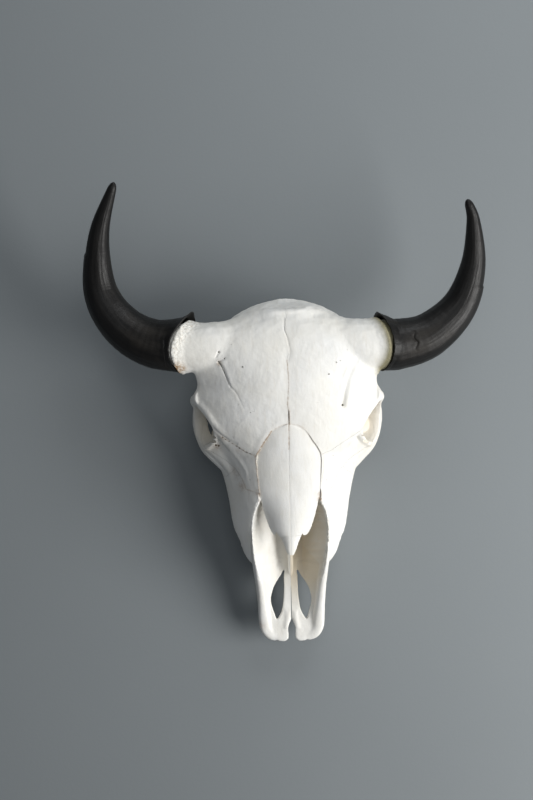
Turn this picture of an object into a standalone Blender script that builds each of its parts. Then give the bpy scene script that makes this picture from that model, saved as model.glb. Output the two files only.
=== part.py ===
"""American bison skull with horn sheaths, without the lower jaw, lying face up.

Metres, +Z up. The forms are laid out from the snout tip, y = 0, back to the occiput, with the
midline at x = 0 and the chewing faces of the teeth at z = 0. The animal's left is +X.
The whole skull is fused from lofts, hollowed, and then parted along its sutures into its bones.
"""

import math

import bmesh
import bpy
import numpy as np
from mathutils import Vector

MM = 0.001

# Skin, gaps and detail
FUSE_VOXEL = 2.6 * MM
SKULL_FACES = 3300  # of all the bones together, before they are parted
HALF_GAP = 0.15  # in millimetres, from the midline to each of a pair of bones
REGION_GROWTH = 0.45 * MM  # leaves a gap of 0.3 mm or so at each suture
HORN_SIDES = 14

# Face, one row per station: y; roof z; then x, z of the nasal edge, the cheek, the facial crest,
# the wall above the teeth and the gum; and the palate's z. In millimetres.
FACE_STATIONS = (
    (138, 128, 30, 122, 55, 100, 66, 80, 62, 56, 46, 34, 38),
    (155, 133, 33, 127, 62, 106, 77, 82, 70, 54, 55, 28, 38),
    (174, 138, 36, 132, 66, 112, 83, 82, 74, 52, 64, 24, 39),
    (200, 145, 42, 137, 70, 116, 94, 82, 82, 52, 72, 21, 40),
    (240, 156, 46, 147, 76, 124, 100, 84, 88, 54, 77, 20, 42),
    (271, 165, 50, 155, 80, 130, 106, 88, 91, 56, 80, 21, 43),
    (290, 172, 52, 162, 83, 135, 111, 91, 93, 58, 80, 21, 44),
    (308, 178, 54, 168, 87, 142, 119, 96, 94, 60, 77, 25, 46),
    (332, 186, 58, 176, 93, 150, 138, 105, 90, 66, 66, 36, 50),
    (350, 191, 62, 180, 98, 152, 136, 114, 80, 78, 56, 54, 60),
    (364, 190, 58, 176, 74, 150, 76, 122, 58, 96, 44, 78, 84),
)

# Forehead: y, crown z, half width, edge z, underside z at the middle
FOREHEAD_STATIONS = (
    (318, 181, 80, 152, 120),
    (340, 189, 104, 156, 118),
    (362, 195, 118, 162, 116),
    (386, 200, 133, 162, 114),
    (408, 204, 150, 154, 112),
    (420, 205, 151, 153, 112),
    (436, 206, 143, 158, 112),
    (455, 206, 146, 166, 114),
    (480, 204, 150, 176, 116),
    (508, 199, 148, 177, 118),
    (530, 190, 124, 168, 120),
    (545, 182, 78, 162, 122),
    (554, 176, 44, 160, 124),
)

# Occiput, one row per level: z, rear y at the midline, rear y at the side, half width, front y
OCCIPUT_LEVELS = (
    (180, 553, 548, 34, 500),
    (168, 561, 550, 62, 500),
    (150, 568, 547, 84, 497),
    (130, 573, 541, 92, 492),
    (108, 566, 537, 106, 489),
    (84, 557, 533, 117, 487),
    (64, 552, 530, 110, 487),
    (48, 549, 530, 78, 490),
)

# Orbit rim on the animal's left, as x, y, z going round from its rear top corner
ORBIT_RIM = (
    (151, 408, 150),
    (139, 393, 160),
    (126, 374, 164),
    (120, 357, 157),
    (127, 340, 137),
    (142, 333, 113),
    (154, 352, 97),
    (156, 382, 98),
    (155, 403, 120),
)
ORBIT_APEX = (66, 402, 118)

# Horns: path points x, y, z from the base to the tip, and the radius at the base
HORN_PATHS = {
    "left": ((150, 498, 158), (182, 496, 153), (232, 510, 149), (281, 555, 152), (302, 618, 170),
             (300, 684, 198), (289, 718, 214)),
    "right": ((-161, 501, 158), (-214, 506, 151), (-256, 528, 148), (-288, 567, 151), (-300, 614, 163),
              (-292, 684, 197), (-264, 755, 230)),
}
HORN_BASE_RADIUS = 44 * MM
HORN_TAPER = 0.9  # share of the radius lost on the way to the tip
HORN_TAPER_POWER = 1.3
# Reach of each bone core to the side, in millimetres
CORE_END = {"left": 168, "right": 194}
SHEATH_RECESS = {"left": 14 * MM, "right": 20 * MM}  # of the rim, on its upper side
RIM_LEAN = 7 * MM  # the rim lies nearer the midline by this much behind, and farther from it in front

# Outlines that part the bones, in x, y seen from above, or in y, z seen from the side
FRONTAL_EDGE = ((-10, 322), (53, 322), (70, 328), (82, 335), (109, 350), (121, 362), (230, 376), (230, 640),
                (-10, 640))
FRONTAL_DEPTH = 118
LACRIMAL_EDGE = ((40, 262), (68, 266), (76, 288), (100, 312), (124, 328), (137, 334), (141, 376), (40, 376))
LACRIMAL_DEPTH = 96
ZYGOMATIC_EDGE = ((88, 300), (101, 288), (230, 288), (230, 450), (100, 450), (95, 372), (92, 330))
SNOUT_END = 137.5
SNOUT_RISE = ((120, -20), (143, -20), (143, 54), (196, 112), (204, 160), (120, 160))
SNOUT_RISE_WIDTH = 63.5
CRANIUM_MIDDLE = ((356, -40), (356, 118), (398, 118), (406, 130), (530, 134), (547, 150), (556.5, 172), (562, 240),
                  (640, 240), (640, -40))
CRANIUM_MIDDLE_WIDTH = 82
CRANIUM_SIDE = ((434, -40), (434, 111), (640, 111), (640, -40))

BONE_COLOUR = (0.80, 0.79, 0.74)
BONE_ROUGHNESS = 0.6
HORN_COLOUR = (0.012, 0.011, 0.010)
HORN_ROUGHNESS = 0.38

# Cheek teeth of one side: y at the front, length, x of the centre, width
CHEEK_TEETH = (
    (165, 15, 52, 15),
    (181, 18, 56, 19),
    (200, 17, 60, 21),
    (218, 26, 63, 25),
    (245, 31, 65, 27),
    (277, 34, 64, 26),
)

GUM_WIDTH = 24

# Nasal bones: y, half width, crown z, drop from the crown to the side
NASAL_STATIONS = (
    (157, 3, 138, 0.5),
    (166, 8, 139, 1.5),
    (178, 13, 141, 3),
    (187, 17, 143, 4),
    (190, 27, 144, 8),
    (200, 33, 146, 9),
    (216, 39, 150, 11),
    (236, 44, 156, 12),
    (262, 49, 163, 12),
    (300, 52, 176, 12),
    (324, 51, 185, 12),
    (345, 38, 192, 7),
    (361, 26, 196, 3),
    (371, 3, 198, 0.5),
)

# Paths: x, y, z of the centre, half width, half height
PEDICLE = ((20, 500, 150, 36, 34), (70, 499, 154, 40, 37), (110, 498, 157, 41, 38), (145, 497, 158, 39.5, 37),
           (200, 502, 156, 36, 35))
ZYGOMATIC_ARCH = ((92, 286, 96, 8, 12), (116, 312, 95, 9, 16), (135, 336, 92, 11, 17), (146, 366, 84, 11, 16),
                  (148, 396, 84, 9, 15), (144, 424, 88, 6.5, 14), (133, 450, 91, 6.5, 13), (119, 472, 87, 8, 13),
                  (102, 488, 84, 10, 14))
POSTORBITAL_BAR = ((142, 416, 158, 8, 12), (151, 413, 134, 7, 9), (152, 411, 110, 7, 10), (149, 410, 86, 7, 16))
JAW_JOINT = ((50, 476, 84, 22, 16), (82, 475, 80, 19, 11), (112, 471, 84, 15, 9))
PARACONDYLAR_PROCESS = ((78, 536, 76, 20, 16), (77, 538, 50, 18, 11), (73, 538, 26, 13, 9), (69, 536, -5, 8, 7))
PTERYGOID = ((22, 340, 62, 4, 22), (21, 372, 62, 3.5, 22), (20, 404, 68, 3.5, 20), (19, 430, 74, 5, 12))
SNOUT_SIDE = ((25, 7, 44.5, 7, 5), (36, 13, 45, 9.5, 6.5), (44, 25, 46, 10, 8), (46.5, 44, 49, 9.5, 11),
              (49, 72, 55, 8.5, 15), (52, 104, 64, 8, 20), (57, 139, 78, 7, 25), (60, 168, 93, 6, 26),
              (61, 200, 104, 5, 22))
SNOUT_BAR = ((10, 24, 45, 6, 7), (6, 50, 46, 6.6, 6), (5.6, 90, 49, 6.2, 5.5), (5.6, 130, 52, 6.4, 6),
             (5.6, 168, 55, 6.4, 6))
SNOUT_PLATE = ((6, 5), (12, 0), (22, 1), (35, 9), (46, 19), (53, 34), (56, 72), (58, 104), (60, 150),
               (0.5, 150), (0.5, 42), (5, 30))
SNOUT_BOTTOM = 39
SNOUT_TOP = 50
PALATINE_FISSURE = ((9.5, 126), (18, 112), (26, 100), (32, 86), (34.5, 68), (28.5, 46), (24.5, 38.5), (16, 53),
                    (13, 72), (11.5, 96), (11, 112))
BRAINCASE = ((0, 380, 124, 46, 46), (0, 410, 120, 54, 54), (0, 450, 116, 62, 58), (0, 500, 112, 66, 60),
             (0, 548, 108, 66, 54))
SPHENOID = ((0, 318, 124, 46, 50), (0, 350, 126, 44, 48), (0, 390, 124, 46, 46), (0, 430, 112, 50, 44))
SKULL_BASE = ((0, 400, 84, 20, 16), (0, 440, 72, 22, 18), (0, 490, 60, 26, 16), (0, 530, 52, 30, 16),
              (0, 562, 50, 34, 20))
VOMER = ((0, 124, 60, 4.5, 5), (0, 150, 66, 4.5, 12), (0, 200, 72, 3.5, 18), (0, 260, 78, 3, 22),
         (0, 314, 84, 3, 22))
CONDYLE = ((20, 544, 26, 10, 12), (35, 552, 28, 15, 17), (46, 552, 44, 17, 18), (45, 549, 62, 14, 14),
           (40, 545, 76, 6, 8))
FORAMEN_MAGNUM = ((0, 600, 56, 22, 19), (0, 560, 58, 20, 18), (0, 535, 66, 20, 20), (0, 515, 76, 14, 16))
CHOANA = ((0, 400, 62, 16, 16), (0, 360, 64, 16, 16), (0, 330, 70, 16, 14), (0, 312, 74, 12, 12))

# Nose: y, x and z of the floor's side, x and z of the rim
NOSE_TROUGH = (
    (46, 26, 52, 38, 62),
    (72, 26, 49, 43, 66),
    (104, 22, 50, 48, 82),
    (139, 20, 52, 57, 98),
    (174, 22, 54, 61, 118),
    (200, 26, 56, 62, 122),
    (228, 30, 58, 57, 132),
    (248, 34, 60, 48, 146),
    (258, 36, 62, 44, 158),
)
NOSE_TUNNEL = (
    (240, 37, 58, 42, 144),
    (270, 36, 60, 42, 152),
    (300, 32, 64, 38, 158),
    (318, 24, 74, 28, 150),
)


# ---- Curves and rings ----

def mm_vector(point):
    return Vector([value * MM for value in point])


def smooth_rows(rows, steps, closed=False):
    """Points on a smooth curve through the rows, with the given number of steps between two rows."""
    rows = [np.array(row, float) for row in rows]
    count = len(rows)
    spans = count if closed else count - 1
    result = []
    for index in range(spans):
        if closed:
            before, start, end, after = (rows[(index + shift) % count] for shift in (-1, 0, 1, 2))
        else:
            start, end = rows[index], rows[index + 1]
            before = rows[index - 1] if index else 2 * start - end
            after = rows[index + 2] if index + 2 < count else 2 * end - start
        for step in range(steps):
            t = step / steps
            result.append(
                0.5 * (2 * start + (end - before) * t
                       + (2 * before - 5 * start + 4 * end - after) * t ** 2
                       + (3 * start - before - 3 * end + after) * t ** 3)
            )
    if not closed:
        result.append(rows[-1])
    return result


def mirrored_ring(half, steps):
    """A closed smooth outline from anchors (x, z) of the half with x above zero, top to bottom."""
    other = [(-x, z) for x, z in reversed(half) if x > 0]
    return smooth_rows(list(half) + other, steps, closed=True)


def oval(centre, across, up, half_width, half_height, count=20, squareness=2.0):
    """Points round an ellipse, or round a squarer oval where squareness is above 2."""
    ring = []
    for index in range(count):
        angle = math.tau * index / count
        c, s = math.cos(angle), math.sin(angle)
        power = 2 / squareness
        ring.append(
            centre
            + across * (half_width * math.copysign(abs(c) ** power, c))
            + up * (half_height * math.copysign(abs(s) ** power, s))
        )
    return ring


# ---- Objects ----

def new_object(name, bm):
    bmesh.ops.recalc_face_normals(bm, faces=bm.faces)
    mesh = bpy.data.meshes.new(name)
    bm.to_mesh(mesh)
    bm.free()
    obj = bpy.data.objects.new(name, mesh)
    bpy.context.scene.collection.objects.link(obj)
    return obj


def loft(name, rings):
    """A closed skin over rings of equal length, with a flat cap on each end."""
    bm = bmesh.new()
    rows = [[bm.verts.new(point) for point in ring] for ring in rings]
    for near, far in zip(rows, rows[1:]):
        for index in range(len(near)):
            following = (index + 1) % len(near)
            bm.faces.new((near[index], near[following], far[following], far[index]))
    bm.faces.new(rows[0])
    bm.faces.new(list(reversed(rows[-1])))
    return new_object(name, bm)


def tube(name, stations, steps=4, count=16, squareness=2.0, up=(0, 0, 1)):
    """A loft along a path. Stations are x, y, z, half width, half height in millimetres."""
    rows = smooth_rows(stations, steps)
    centres = [mm_vector(row[:3]) for row in rows]
    rings = []
    for index, row in enumerate(rows):
        ahead = centres[min(index + 1, len(rows) - 1)]
        behind = centres[max(index - 1, 0)]
        along = (ahead - behind).normalized()
        across = along.cross(Vector(up)).normalized()
        lift = across.cross(along).normalized()
        rings.append(oval(centres[index], across, lift, row[3] * MM, row[4] * MM, count, squareness))
    return loft(name, rings)


def ellipsoid(name, centre, radii):
    bm = bmesh.new()
    bmesh.ops.create_uvsphere(bm, u_segments=24, v_segments=16, radius=1)
    bmesh.ops.scale(bm, vec=mm_vector(radii), verts=bm.verts)
    bmesh.ops.translate(bm, vec=mm_vector(centre), verts=bm.verts)
    return new_object(name, bm)


def prism(name, outline, bottom, top, axis="z"):
    """An extruded outline. It lies in x, y, or in y, z where the axis is x. In millimetres."""
    def place(point, level):
        return (level, *point) if axis == "x" else (*point, level)

    ends = [[mm_vector(place(point, level)) for point in outline] for level in (bottom, top)]
    return loft(name, ends)


def bake_modifiers(obj):
    depsgraph = bpy.context.evaluated_depsgraph_get()
    obj_mesh = bpy.data.meshes.new_from_object(obj.evaluated_get(depsgraph))
    obj.modifiers.clear()
    obj.data = obj_mesh


def copy_of(obj, name):
    copy = bpy.data.objects.new(name, obj.data.copy())
    bpy.context.scene.collection.objects.link(copy)
    return copy


def discard(*objects):
    for obj in objects:
        bpy.data.objects.remove(obj)


def combine(obj, other, operation):
    modifier = obj.modifiers.new(operation, "BOOLEAN")
    modifier.operation = operation
    modifier.solver = "EXACT"
    modifier.object = other
    bake_modifiers(obj)


def cut(obj, *cutters):
    for cutter in cutters:
        combine(obj, cutter, "DIFFERENCE")
        discard(cutter)


def mirror_image(obj, name):
    """A copy on the other side of the midline."""
    copy = copy_of(obj, name)
    bm = bmesh.new()
    bm.from_mesh(copy.data)
    bmesh.ops.scale(bm, vec=(-1, 1, 1), verts=bm.verts)
    bmesh.ops.reverse_faces(bm, faces=bm.faces)
    bm.to_mesh(copy.data)
    bm.free()
    return copy


def with_mirror(forms):
    return forms + [mirror_image(form, form.name + "_other") for form in forms]


def join(name, forms):
    bm = bmesh.new()
    for form in forms:
        bm.from_mesh(form.data)
    discard(*forms)
    mesh = bpy.data.meshes.new(name)
    bm.to_mesh(mesh)
    bm.free()
    obj = bpy.data.objects.new(name, mesh)
    bpy.context.scene.collection.objects.link(obj)
    return obj


def fuse(name, forms, voxel, rounds):
    """One smooth skin round overlapping forms."""
    obj = join(name, forms)
    remesh = obj.modifiers.new("fuse", "REMESH")
    remesh.mode = "VOXEL"
    remesh.voxel_size = voxel
    smooth = obj.modifiers.new("soften", "SMOOTH")
    smooth.factor = 0.5
    smooth.iterations = rounds
    bake_modifiers(obj)
    return obj


# ---- Forms of the skull ----

def face_block():
    rings = []
    for row in smooth_rows(FACE_STATIONS, 3):
        y, roof, edge_x, edge_z, cheek_x, cheek_z, crest_x, crest_z, wall_x, wall_z, gum_x, gum_z, palate = row
        half = (
            (0, roof), (0.55 * edge_x, roof - 0.25 * (roof - edge_z)), (edge_x, edge_z), (cheek_x, cheek_z),
            (crest_x, crest_z), (wall_x, wall_z), (gum_x, gum_z), (gum_x - GUM_WIDTH, gum_z),
            (gum_x - GUM_WIDTH - 9, palate), (0, palate + 2),
        )
        rings.append([mm_vector((x, y, z)) for x, z in mirrored_ring(half, 4)])
    return loft("face_block", rings)


def forehead():
    rings = []
    for y, crown, width, edge, underside in smooth_rows(FOREHEAD_STATIONS, 3):
        drop = crown - edge
        half = (
            (0, crown), (0.35 * width, crown - 0.07 * drop), (0.7 * width, crown - 0.42 * drop), (width, edge),
            (width - 1, edge - 9), (0.82 * width, edge - 24), (0.5 * width, underside + 6), (0, underside),
        )
        rings.append([mm_vector((x, y, z)) for x, z in mirrored_ring(half, 4)])
    return loft("forehead", rings)


def occiput_block():
    rings = []
    for z, rear, side_rear, width, front in smooth_rows(OCCIPUT_LEVELS, 3):
        bulge = rear - side_rear
        half = (
            (0, rear), (0.35 * width, rear - 0.12 * bulge), (0.7 * width, rear - 0.5 * bulge),
            (width, side_rear - 8), (0.8 * width, front), (0, front - 5),
        )
        rings.append([mm_vector((x, y, z)) for x, y in mirrored_ring(half, 4)])
    return loft("occiput_block", rings)


def nasal_roof(lift=0.0, thickness=5.5, spread=0.0):
    """The arched plate over the nose. Millimetres are added to its top, thickness and sides."""
    rings = []
    for y, width, crown, drop in smooth_rows(NASAL_STATIONS, 2):
        width += spread
        top = [(x, crown + lift - drop * abs(x) ** 2.2) for x in np.linspace(-1, 1, 9)]
        under = [(x, z - thickness + 1.5 * abs(x)) for x, z in reversed(top)]
        rings.append([mm_vector((x * width, y, z)) for x, z in top + under])
    return loft("nasal_roof", rings)


def orbit_ring(scale, toward_apex, steps=3):
    """The rim's outline, scaled about its centre and moved a share of the way to the apex."""
    rim = [mm_vector(row) for row in smooth_rows(ORBIT_RIM, steps, closed=True)]
    centre = sum(rim, Vector()) / len(rim)
    shift = (mm_vector(ORBIT_APEX) - centre) * toward_apex
    return [centre + shift + (point - centre) * scale for point in rim]


def orbit_wall():
    return loft("orbit_wall", [orbit_ring(1.06, 0.02), orbit_ring(1.13, 0.08), orbit_ring(1.05, 0.26)])


def orbit_hollow():
    return loft("orbit_hollow", [
        orbit_ring(1.12, -0.45), orbit_ring(0.93, -0.02), orbit_ring(0.86, 0.1),
        orbit_ring(0.8, 0.4), orbit_ring(0.6, 0.72), orbit_ring(0.3, 0.95),
    ])


def core_forms():
    """The large forms, which run smoothly into each other."""
    pedicle = tube("pedicle", PEDICLE, squareness=2.2)
    return [
        face_block(),
        forehead(),
        occiput_block(),
        tube("braincase", BRAINCASE, squareness=2.3),
        tube("sphenoid", SPHENOID, squareness=2.6),
        tube("base", SKULL_BASE, squareness=2.6),
    ] + with_mirror([pedicle])


def side_forms():
    """Finer forms on the animal's left, which are mirrored to the right."""
    return [
        orbit_wall(),
        tube("arch", ZYGOMATIC_ARCH),
        tube("bar", POSTORBITAL_BAR, up=(0, 1, 0)),
        tube("jaw_joint", JAW_JOINT),
        tube("side_process", PARACONDYLAR_PROCESS, up=(0, 1, 0)),
        tube("pterygoid", PTERYGOID, squareness=3),
        tube("snout_side", SNOUT_SIDE, squareness=2.6),
        tube("snout_bar", SNOUT_BAR),
        prism("snout_plate", SNOUT_PLATE, SNOUT_BOTTOM, SNOUT_TOP),
        tube("condyle", CONDYLE, up=(0, 1, 0)),
        ellipsoid("bulla", (47, 488, 46), (15, 20, 16)),
    ]


def nose_hollow():
    """The open trough of the nose and the tunnel behind it, under the nasal roof."""
    rings = []
    for y, floor_x, floor_z, rim_x, rim_z in smooth_rows(NOSE_TROUGH, 3):
        half = [(floor_x, floor_z), (rim_x, rim_z), (rim_x + 3, 215)]
        outline = half + [(-x, z) for x, z in reversed(half)]
        rings.append([mm_vector((x, y, z)) for x, z in outline])
    trough = loft("trough", rings)
    rings = []
    for y, floor_x, floor_z, roof_x, roof_z in smooth_rows(NOSE_TUNNEL, 3):
        half = ((0, roof_z), (roof_x, roof_z - 12), (roof_x + 1, 100), (floor_x, floor_z), (0, floor_z - 1))
        rings.append([mm_vector((x, y, z)) for x, z in mirrored_ring(half, 3)])
    return trough, loft("tunnel", rings)


def whole_skull():
    """All the bones in one body, with the hollows open but no sutures yet."""
    core = fuse("core", core_forms(), FUSE_VOXEL, 16)
    body = fuse("body", [core] + with_mirror(side_forms()), FUSE_VOXEL, 4)
    hollows = [orbit_hollow(), prism("fissure", PALATINE_FISSURE, -20, 90)]
    cut(body, *nose_hollow(), *with_mirror(hollows))
    cut(body, tube("magnum", FORAMEN_MAGNUM), tube("choana", CHOANA, squareness=2.6))
    return fuse("skull", [body], FUSE_VOXEL, 3)


def coarsen(skull, faces):
    """Fewer faces, and the same on both sides of the midline."""
    bm = bmesh.new()
    bm.from_mesh(skull.data)
    bmesh.ops.bisect_plane(
        bm, geom=list(bm.verts) + list(bm.edges) + list(bm.faces), plane_co=(0, 0, 0), plane_no=(-1, 0, 0),
        clear_outer=True,
    )
    bmesh.ops.triangulate(bm, faces=bm.faces)
    share = faces / 2 / len(bm.faces)
    bm.to_mesh(skull.data)
    bm.free()
    decimate = skull.modifiers.new("coarsen", "DECIMATE")
    decimate.ratio = share
    bake_modifiers(skull)
    bm = bmesh.new()
    bm.from_mesh(skull.data)
    for vert in bm.verts:
        vert.co.x = 0 if vert.is_boundary else max(vert.co.x, 0.05 * MM)
    bm.to_mesh(skull.data)
    bm.free()
    mirror = skull.modifiers.new("mirror", "MIRROR")
    mirror.merge_threshold = 0.00001
    bake_modifiers(skull)


# ---- Parting ----

def grown(region):
    """A copy of a region with its sides moved out by the gap between two bones."""
    copy = copy_of(region, region.name + "_grown")
    swell = copy.modifiers.new("swell", "DISPLACE")
    swell.mid_level = 0
    swell.strength = REGION_GROWTH
    bake_modifiers(copy)
    return copy


def keep_largest(obj):
    """Drops the crumbs that a cut leaves."""
    bm = bmesh.new()
    bm.from_mesh(obj.data)
    unseen = set(bm.verts)
    islands = []
    while unseen:
        island = set()
        stack = [unseen.pop()]
        while stack:
            vert = stack.pop()
            island.add(vert)
            for edge in vert.link_edges:
                other = edge.other_vert(vert)
                if other in unseen:
                    unseen.discard(other)
                    stack.append(other)
        islands.append(island)
    islands.sort(key=len, reverse=True)
    for island in islands[1:]:
        bmesh.ops.delete(bm, geom=list(island), context="VERTS")
    bm.to_mesh(obj.data)
    bm.free()


def part_off(rest, name, region):
    """Takes what lies in the region away from the rest, as a bone of its own."""
    bone = copy_of(rest, name)
    combine(bone, region, "INTERSECT")
    cut(rest, grown(region))
    discard(region)
    keep_largest(bone)
    return bone


def union(name, forms):
    first = forms[0]
    for form in forms[1:]:
        combine(first, form, "UNION")
        discard(form)
    first.name = name
    return first


def cranium_region():
    half_width = CRANIUM_MIDDLE_WIDTH
    return union("cranium_region", [
        prism("middle", CRANIUM_MIDDLE, -half_width, half_width, axis="x"),
        prism("side", CRANIUM_SIDE, -240, 240, axis="x"),
    ])


def snout_region():
    return union("snout_region", [
        prism("front", ((-20, -20), (240, -20), (240, SNOUT_END), (-20, SNOUT_END)), -40, 240),
        prism("rise", SNOUT_RISE, -20, SNOUT_RISE_WIDTH, axis="x"),
    ])


def cheek_tooth(y, length, x, width):
    """A squarish crown, a little waisted at its middle, with a flat chewing face."""
    rings = []
    for z, swell in ((0, 0.94), (7, 1.0), (34, 0.9)):
        centre = mm_vector((x, y + length / 2, z))
        ring = oval(centre, Vector((1, 0, 0)), Vector((0, 1, 0)), width / 2 * swell * MM,
                    (length / 2 - 0.4) * swell * MM, count=12, squareness=3.2)
        rings.append(ring)
    return loft("tooth", rings)


def half_bones(half):
    """Parts one side of the skull along its sutures, from the frontal down to the snout."""
    cut(half, nasal_roof(lift=30, thickness=36, spread=0.4))
    bones = [
        part_off(half, "frontal_left", prism("region", FRONTAL_EDGE, FRONTAL_DEPTH, 280)),
        part_off(half, "lacrimal_left", prism("region", LACRIMAL_EDGE, LACRIMAL_DEPTH, 280)),
        part_off(half, "zygomatic_left", prism("region", ZYGOMATIC_EDGE, -20, 280)),
        part_off(half, "premaxilla_left", snout_region()),
    ]
    keep_largest(half)
    half.name = "maxilla_left"
    for tooth in CHEEK_TEETH:
        form = cheek_tooth(*tooth)
        combine(half, form, "UNION")
        discard(form)
    return bones + [half]


def nasal_bone(left_side):
    bone = nasal_roof()
    combine(bone, left_side, "INTERSECT")
    bone.name = "nasal_left"
    return bone


def sheath(side):
    """A horn sheath with a flared rim, and a dish in its base round the bone core's end."""
    rows = smooth_rows(HORN_PATHS[side], 2)
    centres = [mm_vector(row) for row in rows]
    travelled = [0.0]
    for near, far in zip(centres, centres[1:]):
        travelled.append(travelled[-1] + (far - near).length)
    toward_front = 1 if side == "left" else -1
    rings = []
    for index, centre in enumerate(centres):
        ahead = centres[min(index + 1, len(centres) - 1)]
        behind = centres[max(index - 1, 0)]
        along = (ahead - behind).normalized()
        across = along.cross(Vector((0, 0, 1))).normalized()
        lift = across.cross(along).normalized()
        share = travelled[index] / travelled[-1]
        radius = HORN_BASE_RADIUS * (1 - HORN_TAPER * share ** HORN_TAPER_POWER)
        if index == 0:
            flare, fade = 1.06, 1.0
        elif index == 1:
            flare, fade = 1.02, 0.5
        else:
            flare, fade = 1.0, 0.0
        if index == len(centres) - 1:
            radius *= 0.7
        ring = oval(centre, across, lift, radius * flare, radius * flare, HORN_SIDES)
        for corner, point in enumerate(ring):
            angle = math.tau * corner / HORN_SIDES
            recess = SHEATH_RECESS[side] * max(0.0, math.sin(angle)) ** 1.5
            lean = RIM_LEAN * toward_front * math.cos(angle)
            ring[corner] = point + along * (fade * (recess + lean))
        rings.append(ring)
    lip = [rings[0][corner].lerp(centres[0], 0.07) for corner in range(HORN_SIDES)]
    floor_x = math.copysign(CORE_END[side] + 1, HORN_PATHS[side][0][0]) * MM
    floor = []
    for corner in range(HORN_SIDES):
        point = centres[0] + (lip[corner] - centres[0]) * 0.97
        floor.append(Vector((floor_x, point.y, point.z)))
    return loft("horn_" + side, [floor, lip] + rings)


# ---- Materials ----

def material(name, colour, roughness):
    result = bpy.data.materials.new(name)
    result.use_nodes = True
    shader = result.node_tree.nodes["Principled BSDF"]
    shader.inputs["Base Color"].default_value = (*colour, 1)
    shader.inputs["Roughness"].default_value = roughness
    shader.inputs["Metallic"].default_value = 0
    return result


def finish(obj, look, parent):
    """One material, smooth rounded faces, and the whole skull's own parent."""
    obj.data.materials.clear()
    obj.data.materials.append(look)
    obj.data.shade_smooth()
    obj.data.set_sharp_from_angle(angle=math.radians(40))
    obj.parent = parent


def centred_offset(objects):
    """Moves the middle of the bounding box, at its bottom, to the origin."""
    corners = np.array([tuple(vertex.co) for obj in objects for vertex in obj.data.vertices])
    low, high = corners.min(axis=0), corners.max(axis=0)
    return (-(low[0] + high[0]) / 2, -(low[1] + high[1]) / 2, -low[2])


def main():
    for obj in list(bpy.data.objects):
        bpy.data.objects.remove(obj)
    skull = whole_skull()
    cut(skull, prism("floor", ((-400, -100), (400, -100), (400, 800), (-400, 800)), -60, 0))
    coarsen(skull, SKULL_FACES)
    cranium = part_off(skull, "cranium", cranium_region())
    vomer = tube("vomer", VOMER, steps=2, count=8, squareness=2.4)
    cut(skull, grown(vomer))
    left_side = prism("left_side", ((HALF_GAP, -50), (300, -50), (300, 700), (HALF_GAP, 700)), -100, 400)
    combine(skull, left_side, "INTERSECT")
    bones = half_bones(skull) + [nasal_bone(left_side)]
    discard(left_side)
    bones += [mirror_image(bone, bone.name.replace("left", "right")) for bone in bones]
    sheaths = [sheath(side) for side in HORN_PATHS]
    for horn in sheaths:
        frontal = bpy.data.objects[horn.name.replace("horn", "frontal")]
        cut(frontal, grown(horn))
        keep_largest(frontal)
    bones += [cranium, vomer]
    frame = bpy.data.objects.new("skull_frame", None)
    bpy.context.scene.collection.objects.link(frame)
    frame.location = centred_offset(bones + sheaths)
    for bone in bones:
        finish(bone, material(bone.name, BONE_COLOUR, BONE_ROUGHNESS), frame)
    for horn in sheaths:
        finish(horn, material(horn.name, HORN_COLOUR, HORN_ROUGHNESS), frame)


main()
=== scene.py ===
"""The looks of an American bison skull with horn sheaths, lying face up, seen from straight above.

The skull's forms are laid out in millimetres from the snout tip, y = 0, back to the occiput, with
the midline at x = 0 and the chewing faces of the teeth at z = 0. The animal's left is +X. The
bones are carved as one fine skin, parted along their sutures, and then set down on the model.
"""

import math
import random

import bmesh
import bpy
import numpy as np
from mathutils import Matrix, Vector, kdtree, noise
from mathutils.bvhtree import BVHTree


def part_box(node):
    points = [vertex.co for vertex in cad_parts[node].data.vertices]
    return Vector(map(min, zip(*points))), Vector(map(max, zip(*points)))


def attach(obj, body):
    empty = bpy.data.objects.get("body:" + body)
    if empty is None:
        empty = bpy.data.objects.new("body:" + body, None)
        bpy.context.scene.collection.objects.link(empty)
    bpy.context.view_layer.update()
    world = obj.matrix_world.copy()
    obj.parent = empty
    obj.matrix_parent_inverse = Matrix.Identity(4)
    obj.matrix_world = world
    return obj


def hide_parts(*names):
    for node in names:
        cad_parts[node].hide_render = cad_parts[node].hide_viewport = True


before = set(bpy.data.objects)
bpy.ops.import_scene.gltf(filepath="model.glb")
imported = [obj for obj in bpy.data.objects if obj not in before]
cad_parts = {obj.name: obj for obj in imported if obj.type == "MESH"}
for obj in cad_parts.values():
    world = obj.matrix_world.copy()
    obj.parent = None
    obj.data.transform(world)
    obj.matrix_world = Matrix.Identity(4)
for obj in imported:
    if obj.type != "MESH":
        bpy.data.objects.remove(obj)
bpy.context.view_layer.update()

MM = 0.001
SIDES = {"left": 1, "right": -1}  # the sign of x on the animal's own sides
FINE = "_fine"  # ends the name of each piece that stands for a plain solid

# Skin and gaps
CORE_VOXEL = 2.6 * MM
FINE_VOXEL = 1.3 * MM
SEAM_GAP = 0.35 * MM
SLIVER = 0.02 * MM  # edges shorter than this are merged away
SAME_PLACE = 0.0001 * MM
SHARP_ANGLE = math.radians(52)

# Heights in millimetres above the upper skin and above all the bones
ABOVE_ALL = 400
ABOVE_BONES = 280

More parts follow.
